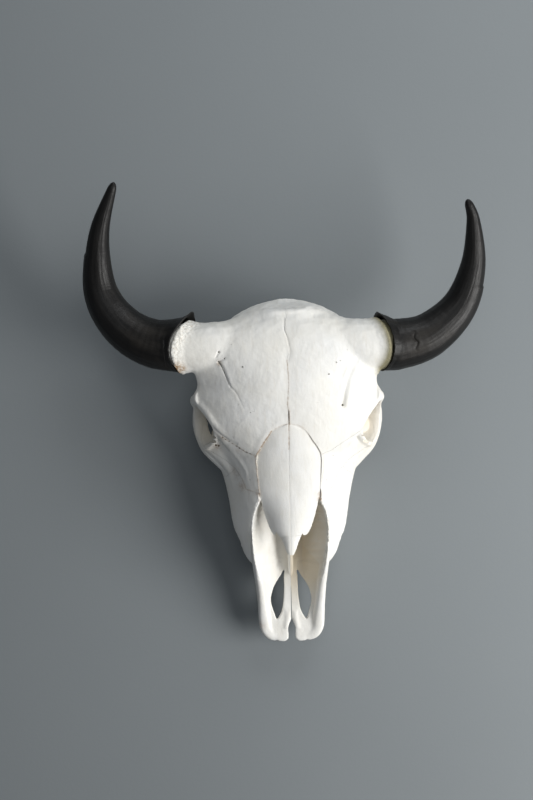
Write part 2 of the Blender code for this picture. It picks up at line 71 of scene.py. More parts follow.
# Face, one row per station: y; roof z; then x, z of the nasal edge, the cheek, the facial crest,
# the wall above the teeth and the gum; and the palate's z. In millimetres.
FACE_STATIONS = (
    (138, 128, 30, 122, 55, 100, 66, 80, 62, 56, 46, 34, 38),
    (155, 133, 33, 127, 62, 106, 77, 82, 70, 54, 55, 28, 38),
    (174, 138, 36, 132, 66, 112, 83, 82, 74, 52, 64, 24, 39),
    (200, 145, 42, 137, 70, 116, 94, 82, 82, 52, 72, 21, 40),
    (240, 156, 46, 147, 76, 124, 100, 84, 88, 54, 77, 20, 42),
    (271, 165, 50, 155, 80, 130, 106, 88, 91, 56, 80, 21, 43),
    (290, 172, 52, 162, 83, 135, 111, 91, 93, 58, 80, 21, 44),
    (308, 178, 54, 168, 87, 142, 119, 96, 94, 60, 77, 25, 46),
    (332, 186, 58, 176, 93, 150, 138, 105, 90, 66, 66, 36, 50),
    (350, 191, 62, 180, 98, 152, 136, 114, 80, 78, 56, 54, 60),
    (364, 190, 58, 176, 74, 150, 76, 122, 58, 96, 44, 78, 84),
)

# Forehead: y, crown z, half width, edge z, underside z at the middle
FOREHEAD_STATIONS = (
    (318, 181, 80, 152, 120), (340, 189, 104, 156, 118), (362, 195, 118, 162, 116), (386, 200, 133, 162, 114),
    (408, 204, 150, 154, 112), (420, 205, 151, 153, 112), (436, 206, 143, 158, 112),
    (455, 206, 146, 166, 114), (480, 204, 150, 176, 116), (508, 199, 148, 177, 118),
    (530, 190, 124, 168, 120), (545, 182, 78, 162, 122), (554, 176, 44, 160, 124),
)

# Occiput, one row per level: z, rear y at the midline, rear y at the side, half width, front y
OCCIPUT_LEVELS = (
    (180, 553, 548, 34, 500), (168, 561, 550, 62, 500), (150, 568, 547, 84, 497), (130, 573, 541, 92, 492),
    (108, 566, 537, 106, 489), (84, 557, 533, 117, 487), (64, 552, 530, 110, 487), (48, 549, 530, 78, 490),
)

# Orbit rim on the animal's left, as x, y, z going round from its rear top corner
ORBIT_RIM = (
    (151, 408, 150), (139, 393, 160), (126, 374, 164), (120, 357, 157), (127, 340, 137), (142, 333, 113),
    (154, 352, 97), (156, 382, 98), (155, 403, 120),
)
ORBIT_APEX = (66, 402, 118)
# Sections of the orbit's raised wall and of its hollow: the rim's scale, share of the way to the apex
ORBIT_WALL = ((1.06, 0.02), (1.13, 0.08), (1.05, 0.26))
ORBIT_HOLLOW = ((1.12, -0.45), (0.93, -0.02), (0.86, 0.1), (0.8, 0.4), (0.6, 0.72), (0.3, 0.95))

# Horns: path points x, y, z from the base to the tip, and the radius at the base
HORN_PATHS = {
    "left": ((150, 498, 158), (182, 496, 153), (232, 510, 149), (281, 555, 152), (302, 618, 170),
             (300, 684, 198), (289, 718, 214)),
    "right": ((-161, 501, 158), (-214, 506, 151), (-256, 528, 148), (-288, 567, 151), (-300, 614, 163),
              (-292, 684, 197), (-264, 755, 230)),
}
HORN_BASE_RADIUS = 44 * MM
HORN_TAPER = 0.9  # share of the radius lost on the way to the tip
HORN_TAPER_POWER = 1.3
# Reach of each bone core to the side, in millimetres
CORE_END = {"left": 168, "right": 194}
SHEATH_RECESS = {"left": 14 * MM, "right": 20 * MM}  # of the rim, on its upper side
RIM_LEAN = 7 * MM  # the rim lies nearer the midline by this much behind, and farther from it in front

# Cheek teeth of one side: y at the front, length, x of the centre, width
CHEEK_TEETH = (
    (165, 15, 52, 15), (181, 18, 56, 19), (200, 17, 60, 21), (218, 26, 63, 25), (245, 31, 65, 27),
    (277, 34, 64, 26),
)
# A tooth's profile, down from the root to the rim of its worn face and up into its hollows: z, scale
TOOTH_PROFILE = (
    (36, 0.84), (24, 0.95), (8, 1.0), (0.9, 0.97), (0.05, 0.93), (0.0, 0.87), (1.6, 0.74), (1.9, 0.56),
    (0.3, 0.46), (0.3, 0.36), (1.4, 0.24), (1.5, 0.1),
)
GUM_WIDTH = 24

# Nasal bones: y, half width, crown z, drop from the crown to the side
NASAL_STATIONS = (
    (157, 3, 138, 0.5), (166, 8, 139, 1.5), (178, 13, 141, 3), (187, 17, 143, 4), (190, 27, 144, 8),
    (200, 33, 146, 9), (216, 39, 150, 11), (236, 44, 156, 12), (262, 49, 163, 12), (300, 52, 176, 12),
    (324, 51, 185, 12), (345, 38, 192, 7), (361, 26, 196, 3), (371, 3, 198, 0.5),
)
NASAL_ARCH = 2.2  # power by which the nasal bones fall away to their sides
# The cutter that clears their place reaches above them, down and to the side by this much
CUTTER_LIFT = 30
CUTTER_DEPTH = 36
CUTTER_SPREAD = 0.15

# Paths: x, y, z of the centre, half width, half height
PEDICLE = (
    (20, 500, 150, 36, 34), (70, 499, 154, 40, 37), (110, 498, 157, 41, 38), (145, 497, 158, 39.5, 37),
    (200, 502, 156, 36, 35),
)
ZYGOMATIC_ARCH = (
    (92, 286, 96, 8, 12), (116, 312, 95, 9, 16), (135, 336, 92, 11, 17), (146, 366, 84, 11, 16),
    (148, 396, 84, 9, 15), (144, 424, 88, 6.5, 14), (133, 450, 91, 6.5, 13), (119, 472, 87, 8, 13),
    (102, 488, 84, 10, 14),
)
POSTORBITAL_BAR = (
    (142, 416, 158, 8, 12), (151, 413, 134, 7, 9), (152, 411, 110, 7, 10), (149, 410, 86, 7, 16),
)
JAW_JOINT = ((50, 476, 84, 22, 16), (82, 475, 80, 19, 11), (112, 471, 84, 15, 9))
PARACONDYLAR_PROCESS = (
    (78, 536, 76, 20, 16), (77, 538, 50, 18, 11), (73, 538, 26, 13, 9), (69, 536, -5, 8, 7),
)
PTERYGOID = ((22, 340, 62, 4, 22), (21, 372, 62, 3.5, 22), (20, 404, 68, 3.5, 20), (19, 430, 74, 5, 12))
SNOUT_SIDE = (
    (25, 7, 44.5, 7, 5), (36, 13, 45, 9.5, 6.5), (44, 25, 46, 10, 8), (46.5, 44, 49, 9.5, 11),
    (49, 72, 55, 8.5, 15), (52, 104, 64, 8, 20), (57, 139, 78, 7, 25), (60, 168, 93, 6, 26),
    (61, 200, 104, 5, 22),
)
SNOUT_BAR = (
    (10, 24, 45, 6, 7), (6, 50, 46, 6.6, 6), (5.6, 90, 49, 6.2, 5.5), (5.6, 130, 52, 6.4, 6),
    (5.6, 168, 55, 6.4, 6),
)
SNOUT_PLATE = (
    (6, 5), (12, 0), (22, 1), (35, 9), (46, 19), (53, 34), (56, 72), (58, 104), (60, 150), (0.5, 150),
    (0.5, 42), (5, 30),
)
SNOUT_BOTTOM = 39
SNOUT_TOP = 50
PALATINE_FISSURE = (
    (9.5, 126), (18, 112), (26, 100), (32, 86), (34.5, 68), (28.5, 46), (24.5, 38.5), (16, 53), (13, 72),
    (11.5, 96), (11, 112),
)
BRAINCASE = (
    (0, 380, 124, 46, 46), (0, 410, 120, 54, 54), (0, 450, 116, 62, 58), (0, 500, 112, 66, 60),
    (0, 548, 108, 66, 54),
)
SPHENOID = ((0, 318, 124, 46, 50), (0, 350, 126, 44, 48), (0, 390, 124, 46, 46), (0, 430, 112, 50, 44))
SKULL_BASE = (
    (0, 400, 84, 20, 16), (0, 440, 72, 22, 18), (0, 490, 60, 26, 16), (0, 530, 52, 30, 16),
    (0, 562, 50, 34, 20),
)
VOMER = (
    (0, 124, 60, 4.5, 5), (0, 150, 66, 4.5, 12), (0, 200, 72, 3.5, 18), (0, 260, 78, 3, 22),
    (0, 314, 84, 3, 22),
)
CONDYLE = (
    (20, 544, 26, 10, 12), (35, 552, 28, 15, 17), (46, 552, 44, 17, 18), (45, 549, 62, 14, 14),
    (40, 545, 76, 6, 8),
)
VOMER_TIP = ((0, 113, 56, 1.2, 2), (0, 119, 58.5, 3, 3.6))
FORAMEN_MAGNUM = ((0, 600, 56, 22, 19), (0, 560, 58, 20, 18), (0, 535, 66, 20, 20), (0, 515, 76, 14, 16))
CHOANA = ((0, 400, 62, 16, 16), (0, 360, 64, 16, 16), (0, 330, 70, 16, 14), (0, 312, 74, 12, 12))

# The nose's open trough: y, x and z of the floor's side, x and z of the rim
NOSE_TROUGH = (
    (46, 26, 52, 38, 62), (72, 26, 49, 43, 66), (104, 22, 50, 48, 82), (139, 20, 52, 57, 98),
    (174, 22, 54, 61, 118), (200, 26, 56, 62, 122), (228, 30, 58, 57, 132), (248, 34, 60, 48, 146),
    (258, 36, 62, 44, 158),
)
# The tunnel behind it: y, x and z of the floor's side, x and z of the roof's side
NOSE_TUNNEL = ((240, 37, 58, 42, 144), (270, 36, 60, 42, 152), (300, 32, 64, 38, 158), (318, 24, 74, 28, 150))


# ---- Curves and rings ----

def mm_vector(point):
    return Vector([value * MM for value in point])


def smooth_rows(rows, steps, closed=False):
    """Points on a smooth curve through the rows, with the given number of steps between two rows."""
    rows = np.array(rows, float)
    first, last = 2 * rows[:1] - rows[1:2], 2 * rows[-1:] - rows[-2:-1]
    padded = np.concatenate((rows[-1:], rows, rows[:2]) if closed else (first, rows, last))
    result = []
    for before, start, end, after in zip(padded, padded[1:], padded[2:], padded[3:]):
        for step in range(steps):
            t = step / steps
            result.append(
                0.5 * (2 * start + (end - before) * t
                       + (2 * before - 5 * start + 4 * end - after) * t ** 2
                       + (3 * start - before - 3 * end + after) * t ** 3)
            )
    return result if closed else result + [rows[-1]]


def mirrored_ring(half, steps):
    """A closed smooth outline from anchors (x, z) of the half with x above zero, top to bottom."""
    other = [(-x, z) for x, z in reversed(half) if x > 0]
    return smooth_rows(list(half) + other, steps, closed=True)


def circle(count):
    """The cosine and sine at each of the even steps round a circle."""
    return [(math.cos(math.tau * step / count), math.sin(math.tau * step / count)) for step in range(count)]


def signed_power(value, power):
    return math.copysign(abs(value) ** power, value)


def oval(centre, across, up, half_width, half_height, count, squareness):
    """Points round an ellipse, or round a squarer oval where squareness is above 2."""
    power = 2 / squareness
    return [
        centre + across * (half_width * signed_power(c, power)) + up * (half_height * signed_power(s, power))
        for c, s in circle(count)
    ]


def path_frames(centres, up=(0, 0, 1)):
    """At each point of a path: the point, and the directions along the path, across it and up from it."""
    for index, centre in enumerate(centres):
        ahead = centres[min(index + 1, len(centres) - 1)]
        along = (ahead - centres[max(index - 1, 0)]).normalized()
        across = along.cross(Vector(up)).normalized()
        yield centre, along, across, across.cross(along).normalized()


# ---- Objects ----

def add_object(name, data):
    obj = bpy.data.objects.new(name, data)
    bpy.context.scene.collection.objects.link(obj)
    return obj


def built(name, bm):
    """An object with the mesh that was built."""
    mesh = bpy.data.meshes.new(name)
    bm.to_mesh(mesh)
    bm.free()
    return add_object(name, mesh)


def new_object(name, bm):
    bmesh.ops.recalc_face_normals(bm, faces=bm.faces)
    return built(name, bm)


def loft(name, rings):
    """A closed skin over rings of equal length, with a flat cap on each end."""
    bm = bmesh.new()
    rows = [[bm.verts.new(point) for point in ring] for ring in rings]
    for near, far in zip(rows, rows[1:]):
        for index in range(len(near)):
            following = (index + 1) % len(near)
            bm.faces.new((near[index], near[following], far[following], far[index]))
    bm.faces.new(rows[0])
    bm.faces.new(list(reversed(rows[-1])))
    return new_object(name, bm)


def tube(name, stations, steps=4, count=16, squareness=2.0, up=(0, 0, 1)):
    """A loft along a path. Stations are x, y, z, half width, half height in millimetres."""
    rows = smooth_rows(stations, steps)
    path = path_frames([mm_vector(row[:3]) for row in rows], up)
    return loft(name, [
        oval(centre, across, lift, row[3] * MM, row[4] * MM, count, squareness)
        for row, (centre, _, across, lift) in zip(rows, path)
    ])


def ellipsoid(name, centre, radii):
    bm = bmesh.new()
    bmesh.ops.create_uvsphere(bm, u_segments=24, v_segments=16, radius=1)
    bmesh.ops.scale(bm, vec=mm_vector(radii), verts=bm.verts)
    bmesh.ops.translate(bm, vec=mm_vector(centre), verts=bm.verts)
    return new_object(name, bm)


def prism(name, outline, bottom, top, axis="z"):
    """An extruded outline. It lies in x, y, or in y, z where the axis is x. In millimetres."""
    return loft(name, [
        [mm_vector((level, *point) if axis == "x" else (*point, level)) for point in outline]
        for level in (bottom, top)
    ])


def stack(name, rows, half_of, upright=False, steps=4):
    """A loft of mirrored outlines. A row is a y, or a z where upright, and then the sizes of a half."""
    rings = []
    for level, *sizes in smooth_rows(rows, 3):
        ring = mirrored_ring(half_of(*sizes), steps)
        rings.append([mm_vector((a, b, level) if upright else (a, level, b)) for a, b in ring])
    return loft(name, rings)


def modify(obj, kind, **settings):
    modifier = obj.modifiers.new(kind, kind)
    for name, value in settings.items():
        setattr(modifier, name, value)


def bake_modifiers(obj):
    evaluated = obj.evaluated_get(bpy.context.evaluated_depsgraph_get())
    mesh = bpy.data.meshes.new_from_object(evaluated)
    obj.modifiers.clear()
    obj.data = mesh


def copy_of(obj, name):
    return add_object(name, obj.data.copy())


def discard(*objects):
    for obj in objects:
        bpy.data.objects.remove(obj)


def combine(obj, other, operation):
    modify(obj, "BOOLEAN", operation=operation, solver="MANIFOLD", object=other)
    bake_modifiers(obj)


def cut(obj, *cutters):
    for cutter in cutters:
        combine(obj, cutter, "DIFFERENCE")
        discard(cutter)


def mirror_image(obj, name):
    """A copy on the other side of the midline."""
    copy = copy_of(obj, name)
    bm = bmesh.new()
    bm.from_mesh(copy.data)
    bmesh.ops.scale(bm, vec=(-1, 1, 1), verts=bm.verts)
    bmesh.ops.reverse_faces(bm, faces=bm.faces)
    bm.to_mesh(copy.data)
    bm.free()
    return copy


def with_mirror(forms):
    return forms + [mirror_image(form, form.name + "_other") for form in forms]


def join(name, forms):
    bm = bmesh.new()
    for form in forms:
        bm.from_mesh(form.data)
    discard(*forms)
    return built(name, bm)


def fuse(name, forms, voxel, rounds):
    """One smooth skin round overlapping forms."""
    obj = join(name, forms)
    modify(obj, "REMESH", mode="VOXEL", voxel_size=voxel)
    modify(obj, "SMOOTH", factor=0.5, iterations=rounds)
    bake_modifiers(obj)
    return obj


# ---- Forms of the skull ----

def face_half(roof, edge_x, edge_z, cheek_x, cheek_z, crest_x, crest_z, wall_x, wall_z, gum_x, gum_z, palate):
    return (
        (0, roof), (0.55 * edge_x, roof - 0.25 * (roof - edge_z)), (edge_x, edge_z), (cheek_x, cheek_z),
        (crest_x, crest_z), (wall_x, wall_z), (gum_x, gum_z), (gum_x - GUM_WIDTH, gum_z),
        (gum_x - GUM_WIDTH - 9, palate), (0, palate + 2),
    )


def forehead_half(crown, width, edge, underside):
    drop = crown - edge
    return (
        (0, crown), (0.35 * width, crown - 0.07 * drop), (0.7 * width, crown - 0.42 * drop), (width, edge),
        (width - 1, edge - 9), (0.82 * width, edge - 24), (0.5 * width, underside + 6), (0, underside),
    )


def occiput_half(rear, side_rear, width, front):
    bulge = rear - side_rear
    return (
        (0, rear), (0.35 * width, rear - 0.12 * bulge), (0.7 * width, rear - 0.5 * bulge),
        (width, side_rear - 8), (0.8 * width, front), (0, front - 5),
    )


def tunnel_half(floor_x, floor_z, roof_x, roof_z):
    return (0, roof_z), (roof_x, roof_z - 12), (roof_x + 1, 100), (floor_x, floor_z), (0, floor_z - 1)


def nasal_cutter():
    """What clears the nasal bones' place in the skull: their outline, a little wider, and deep."""
    rings = []
    for y, width, crown, drop in smooth_rows(NASAL_STATIONS, 2):
        top = [(x, crown + CUTTER_LIFT - drop * abs(x) ** NASAL_ARCH) for x in np.linspace(-1, 1, 9)]
        under = [(x, z - CUTTER_DEPTH + 1.5 * abs(x)) for x, z in reversed(top)]
        rings.append([mm_vector((x * (width + CUTTER_SPREAD), y, z)) for x, z in top + under])
    return loft("nasal_cutter", rings)


def orbit_form(name, sections):
    """A loft of the rim's outline. Each section scales it, and moves it a share of the way to the apex."""
    rim = [mm_vector(row) for row in smooth_rows(ORBIT_RIM, 3, closed=True)]
    centre = sum(rim, Vector()) / len(rim)
    to_apex = mm_vector(ORBIT_APEX) - centre
    return loft(name, [
        [centre + to_apex * share + (point - centre) * scale for point in rim]
        for scale, share in sections
    ])


def core_forms():
    """The large forms, which run smoothly into each other."""
    pedicle = tube("pedicle", PEDICLE, squareness=2.2)
    return [
        stack("face", FACE_STATIONS, face_half),
        stack("forehead", FOREHEAD_STATIONS, forehead_half),
        stack("occiput", OCCIPUT_LEVELS, occiput_half, upright=True),
        tube("braincase", BRAINCASE, squareness=2.3),
        tube("sphenoid", SPHENOID, squareness=2.6),
        tube("base", SKULL_BASE, squareness=2.6),
    ] + with_mirror([pedicle])


def side_forms():
    """Finer forms on the animal's left, which are mirrored to the right."""
    return [
        orbit_form("orbit_wall", ORBIT_WALL),
        tube("arch", ZYGOMATIC_ARCH),
        tube("bar", POSTORBITAL_BAR, up=(0, 1, 0)),
        tube("jaw_joint", JAW_JOINT),
        tube("side_process", PARACONDYLAR_PROCESS, up=(0, 1, 0)),
        tube("pterygoid", PTERYGOID, squareness=3),
        tube("snout_side", SNOUT_SIDE, squareness=2.6),
        tube("snout_bar", SNOUT_BAR),
        prism("snout_plate", SNOUT_PLATE, SNOUT_BOTTOM, SNOUT_TOP),
        tube("condyle", CONDYLE, up=(0, 1, 0)),
        ellipsoid("bulla", (47, 488, 46), (15, 20, 16)),
    ]


def nose_hollow():
    """The open trough of the nose and the tunnel behind it, under the nasal roof."""
    rings = []
    for y, floor_x, floor_z, rim_x, rim_z in smooth_rows(NOSE_TROUGH, 3):
        half = [(floor_x, floor_z), (rim_x, rim_z), (rim_x + 3, 215)]
        outline = half + [(-x, z) for x, z in reversed(half)]
        rings.append([mm_vector((x, y, z)) for x, z in outline])
    return loft("trough", rings), stack("tunnel", NOSE_TUNNEL, tunnel_half, steps=3)


def grown(region):
    """A copy of a region with its sides moved out by the gap between two bones."""
    copy = copy_of(region, region.name + "_grown")
    modify(copy, "DISPLACE", mid_level=0, strength=SEAM_GAP)
    bake_modifiers(copy)
    return copy


def keep_largest(obj):
    """Drops the crumbs that a cut leaves."""
    bm = bmesh.new()
    bm.from_mesh(obj.data)
    unseen = set(bm.verts)
    islands = []
    while unseen:
        island = []
        waiting = [unseen.pop()]
        while waiting:
            vert = waiting.pop()
            island.append(vert)
            others = {edge.other_vert(vert) for edge in vert.link_edges} & unseen
            unseen -= others
            waiting.extend(others)
        islands.append(island)
    for island in sorted(islands, key=len)[:-1]:
        bmesh.ops.delete(bm, geom=island, context="VERTS")
    bm.to_mesh(obj.data)
    bm.free()


def part_off(rest, name, region):
    """Takes what lies in the region away from the rest, as a bone of its own."""
    bone = copy_of(rest, name)
    combine(bone, region, "INTERSECT")
    cut(rest, grown(region))
    discard(region)
    keep_largest(bone)
    return bone


def union(name, forms):
    first = forms[0]
    for form in forms[1:]:
        combine(first, form, "UNION")
        discard(form)
    first.name = name
    return first


# ---- Relief of the bone ----

# Gentle unevenness: height, size of the lumps, seed
UNEVENNESS = ((0.55, 34, 1), (0.28, 11, 2), (0.12, 4.5, 3))
CREST_EDGE = (554, 178)  # y, z of the flat face behind the crest
CREST_FACING = (0.0, 0.93, 0.368)
COLLAR_HEIGHTS = (4.8, 3.4)  # of the bone beside the right and the left sheath

# Grooves and ridges on the upper side: line in x, y; half width; depth at its start, middle and end.
# A ridge has a negative depth.
RELIEF = (
    (((-109, 472), (-103, 465), (-97, 449), (-91, 433)), 1.3, (0.9, 1.0, 0.7)),
    (((-109, 472), (-98, 478)), 1.6, (2.0, 1.4, 0.6)),
    (((-113, 480), (-108, 488)), 1.5, (1.0, 1.5, 2.0)),
    (((-91, 433), (-82, 423), (-76, 410), (-71, 398)), 1.8, (0.6, 0.5, 0.2)),
    (((-101, 470), (-94, 452), (-88, 434), (-78, 418)), 3.6, (-0.3, -0.5, -0.1)),
    (((112, 471), (104, 458), (96, 440), (91, 421), (87, 400)), 4.2, (0.8, 3.6, 4.4)),
    (((105, 472), (97, 456), (89, 438), (84, 418)), 3.6, (0.0, -1.2, -0.4)),
    (((-44, 551), (-34, 553), (-17, 551), (5, 550), (22, 552), (32, 554), (40, 549)), 3.0, (-0.2, -0.9,
     -0.3)),
    (((-62, 538), (-40, 540), (-24, 536)), 8, (0.8, 2.2, 0.6)),
    (((22, 538), (44, 540), (58, 534)), 7, (0.4, 1.2, 0.4)),
    (((-3, 540), (-3.5, 522), (1.5, 508), (3.5, 497), (5, 486), (2, 472)), 1.0, (0.7, 0.8, 0.3)),
    (((-140, 404), (-128, 388), (-116, 370), (-106, 356)), 5, (-1.6, -2.2, -0.6)),
    (((140, 404), (128, 388), (118, 370), (108, 356)), 5, (-1.2, -1.6, -0.4)),
    (((-120, 366), (-109, 356), (-95, 345), (-84, 341)), 2.2, (1.5, 1.6, 0.6)),
    (((-136, 334), (-118, 318), (-100, 298), (-92, 270)), 5, (-1.0, -2.4, -0.5)),
    (((136, 334), (118, 318), (100, 298), (92, 270)), 5, (-1.0, -2.0, -0.4)),
    (((-112, 330), (-96, 308), (-88, 286)), 5, (0.8, 2.2, 0.6)),
    (((112, 330), (96, 308), (88, 286)), 5, (0.6, 1.6, 0.4)),
    (((-104, 334), (-84, 318), (-72, 300), (-66, 272)), 3.2, (-0.4, -1.2, -0.2)),
    (((0, 540), (1, 500), (2, 460), (0, 420)), 10, (0.4, 0.9, 0.3)),
    (((-52, 320), (-46, 342), (-34, 360), (-12, 376)), 5, (-0.3, -0.9, -0.4)),
)

# Small holes from above: x, y, radius, depth
FORAMINA = (
    (-108, 488, 1.7, 5), (-99, 478, 1.5, 4), (-70.7, 463.3, 1.6, 5), (-71, 427, 0.8, 3), (-60, 391, 0.9, 3),
    (-54, 393, 0.8, 3), (-88, 413, 0.8, 2.5), (-79, 404, 0.9, 2.5), (78, 467.5, 1.3, 3), (84, 470, 0.9, 3),
    (65.7, 449, 1.6, 4), (87, 399.5, 2.2, 7), (47, 404, 0.7, 2), (96, 487, 0.9, 2), (-88, 500, 0.8, 2),
    (-106, 352, 1.4, 4), (-101.5, 348.5, 1.0, 4), (-96, 345, 1.2, 4), (-90.5, 341.5, 0.9, 4),
    (-84, 337.5, 1.2, 4), (-79, 334, 1.5, 4), (-73.5, 330.5, 1.1, 4), (-68, 327.5, 1.2, 4),
    (-62, 325, 1.0, 4), (102, 349, 0.7, 2), (84, 338, 0.7, 2), (-82, 300, 0.8, 2), (-88, 352, 0.7, 2),
    (-114, 337.5, 2.2, 7), (-118, 338.5, 1.8, 6), (71, 318, 0.8, 2), (-64, 282, 0.9, 2.5), (60, 279, 0.8, 2),
    (-80, 236, 0.8, 2), (83, 228, 0.8, 2),
)

# Sections of a hole, as shares of its lean aside and back, its rise above the skin, and shares of its
# depth, radius across and radius along
PIN_SECTIONS = (
    (0, 0, 4, 0, 1.25, 1.1), (0, 0, 0, 0, 1, 0.85), (0.4, -0.3, 0, 0.6, 0.8, 0.7), (1, -1, 0, 1, 0.4, 0.4),
)

# Slots and notches from above: outline in x, y; lowest z
SLOTS = (
    (((-110, 473), (-107, 472.6), (-101.8, 462), (-96.4, 447.5), (-92.4, 435.5), (-93.2, 436), (-97.6, 447.5),
     (-103.8, 463)), 180),
    (((-0.8, 34), (0.8, 34), (0.6, 60), (0.3, 92), (-0.3, 92), (-0.6, 60)), -5),
    (((0, 40), (2.4, 35), (4.8, 30), (6.3, 24), (6.5, 17), (5.4, 10), (6.4, -3), (-6.4, -3), (-5.4, 10),
     (-6.5, 17), (-6.3, 24), (-4.8, 30), (-2.4, 35)), -5),
    (((0.0, 392), (1.2, 393), (1.9, 384), (1.5, 371), (0.2, 371), (-0.2, 382)), 193),
    (((-133, 362), (-128, 363), (-122, 356.5), (-117, 351.5), (-120, 349.5), (-128, 356)), 118),
    (((-127, 350), (-119, 347), (-117, 343.5), (-122, 342.5), (-130, 345)), 122),
    (((118.5, 350.6), (128, 351.4), (138, 352.5), (138, 347), (127, 347.4), (119.5, 348.4)), 112),
    (((122, 341), (130, 343), (136, 338), (130, 335.5), (123, 338)), 126),
    (((47.6, 265), (50.6, 264), (51.2, 254), (50.2, 245), (46.4, 245), (46.4, 256)), 146),
    (((-50.6, 260), (-48.6, 259), (-46.8, 250), (-45.6, 242), (-48.6, 242), (-50.4, 250)), 146),
)


def read_vertices(mesh, field="co"):
    values = np.empty(len(mesh.vertices) * 3, np.float32)
    mesh.vertices.foreach_get(field, values)
    return values.reshape(-1, 3).astype(float)


def write_vertices(mesh, points):
    mesh.vertices.foreach_set("co", points.astype(np.float32).ravel())
    mesh.update()


def grain(points, size, seed):
    """Smooth noise from -1 to 1 at each point in millimetres, with lumps of the given size."""
    shift = Vector((seed * 17.3, seed * 5.1, seed * 9.7))
    return np.array([noise.noise(Vector(point) / size + shift) for point in points])


def noise_at(*place):
    return noise.noise(Vector(place))


def line_distance(points, line):
    """Distance in x, y from each point to a line, and the share of the line passed at the nearest place."""
    best = np.full(len(points), 1e9)
    place = np.zeros(len(points))
    line = np.array(line, float)
    for index, (start, end) in enumerate(zip(line, line[1:])):
        span = end - start
        share = np.clip(((points - start) @ span) / (span @ span), 0, 1)
        away = np.linalg.norm(points - start - share[:, None] * span, axis=1)
        closer = away < best
        best[closer] = away[closer]
        place[closer] = (index + share[closer]) / (len(line) - 1)
    return best, place


def past_rim(points):
    """How far each point lies beyond its own side's sheath rim, or -99 away from the horns."""
    right = points[:, 0] < 0
    around = np.arctan2(points[:, 2] - 157, points[:, 1] - 499)
    recess = np.where(right, 20, 14) * np.maximum(0.0, np.sin(around)) ** 1.5
    rim = np.where(right, 161, 150) + recess - 7 * np.cos(around)
    near = (np.abs(points[:, 1] - 498) < 50) & (points[:, 2] > 100)
    return np.where(near, np.abs(points[:, 0]) - rim, -99)


def burr_share(points):
    """Up to 1 at the rough collar of bone beside each sheath, which is plainer on the animal's left."""
    reach = 23 + 7 * np.clip((points[:, 1] - 498) / 30, -1, 1)
    return np.clip((past_rim(points) + reach) / 17, 0, 1) * np.where(points[:, 0] < 0, 1.0, 0.3)


def flatten_crest(points):
    """Moves what stands above the flat face behind the crest's lip down onto it."""
    x, y, z = points.T
    above = (y - CREST_EDGE[0]) * CREST_FACING[1] + (z - CREST_EDGE[1]) * CREST_FACING[2]
    middle = np.clip((45 - np.abs(x + 5)) / 9, 0, 1)
    down = np.maximum(above, 0) * middle * middle * (3 - 2 * middle)
    return points - down[:, None] * np.array(CREST_FACING)


def nape_relief(points, normals):
    """The nuchal line across the back of the skull, the keel below it and rough bone for muscles."""
    x, y, z = points.T
    rear = np.clip(normals[:, 1] * 1.6 - 0.4, 0, 1) * (y > 500)
    line = 2.4 * np.exp(-((z - 132 + 0.13 * np.abs(x)) / 5) ** 2)
    keel = 2.6 * np.exp(-(x / 5) ** 2 - ((z - 106) / 18) ** 2)
    hollow = -2.0 * np.exp(-((np.abs(x) - 24) / 12) ** 2 - ((z - 110) / 14) ** 2)
    return rear * (line + keel + hollow + 0.7 * grain(points, 9, 9) * np.clip((z - 90) / 15, 0, 1))


def collar_relief(points):
    """The rough, raised collar beside each sheath, and its steep end under the rim."""
    rough = burr_share(points) * (1.9 * np.abs(grain(points, 8, 4)) + 0.7 * grain(points, 3, 5) + 0.2)
    beyond = past_rim(points)
    height = np.where(points[:, 0] < 0, *COLLAR_HEIGHTS)
    end = (height + 1) * np.clip((beyond - 1) / 2.5, 0, 1)
    return rough + height * np.clip((beyond + 20) / 18, 0, 1) ** 1.5 - end


def ragged_relief(points):
    """Teeth along the rim of the nose, and lumps on the tubers of the face."""
    x, y, z = points.T
    rows = np.array(NOSE_TROUGH, float)
    rim_x, rim_z = (np.interp(y, rows[:, 0], rows[:, column]) for column in (3, 4))
    rim = np.exp(-((np.abs(x) - rim_x) ** 2 + (z - rim_z) ** 2) / 36) * (y < 262) * (y > 110)
    rim *= np.where(x > 0, 1.5, 1.0)
    tuber = np.exp(-((y - 172) / 16) ** 2) * np.clip((np.abs(x) - 68) / 12, 0, 1)
    return rim * (grain(points, 5, 6) + grain(points, 2.4, 7)) + tuber * (1.1 * grain(points, 6, 8) + 0.5)


def carve(skull):
    """Grooves, ridges, the rough collars and a gentle unevenness, moved along the skin's own normals."""
    points = flatten_crest(read_vertices(skull.data) / MM)
    normals = read_vertices(skull.data, "normal")
    upper = np.clip(normals[:, 2] * 2.5, 0, 1) * (points[:, 2] > 110)
    push = sum(height * grain(points, size, seed) for height, size, seed in UNEVENNESS)
    for line, width, depths in RELIEF:
        away, place = line_distance(points[:, :2], smooth_rows(line, 4))
        push -= np.interp(place, (0, 0.5, 1), depths) * np.exp(-(away / width) ** 2) * upper
    push += collar_relief(points) + ragged_relief(points) + nape_relief(points, normals)
    push *= points[:, 2] > 0.6  # the lowest faces stay flat
    points[:, 1] += 0.7 * np.clip((20 - points[:, 1]) / 20, 0, 1)
    write_vertices(skull.data, (points + normals * push[:, None]) * MM)


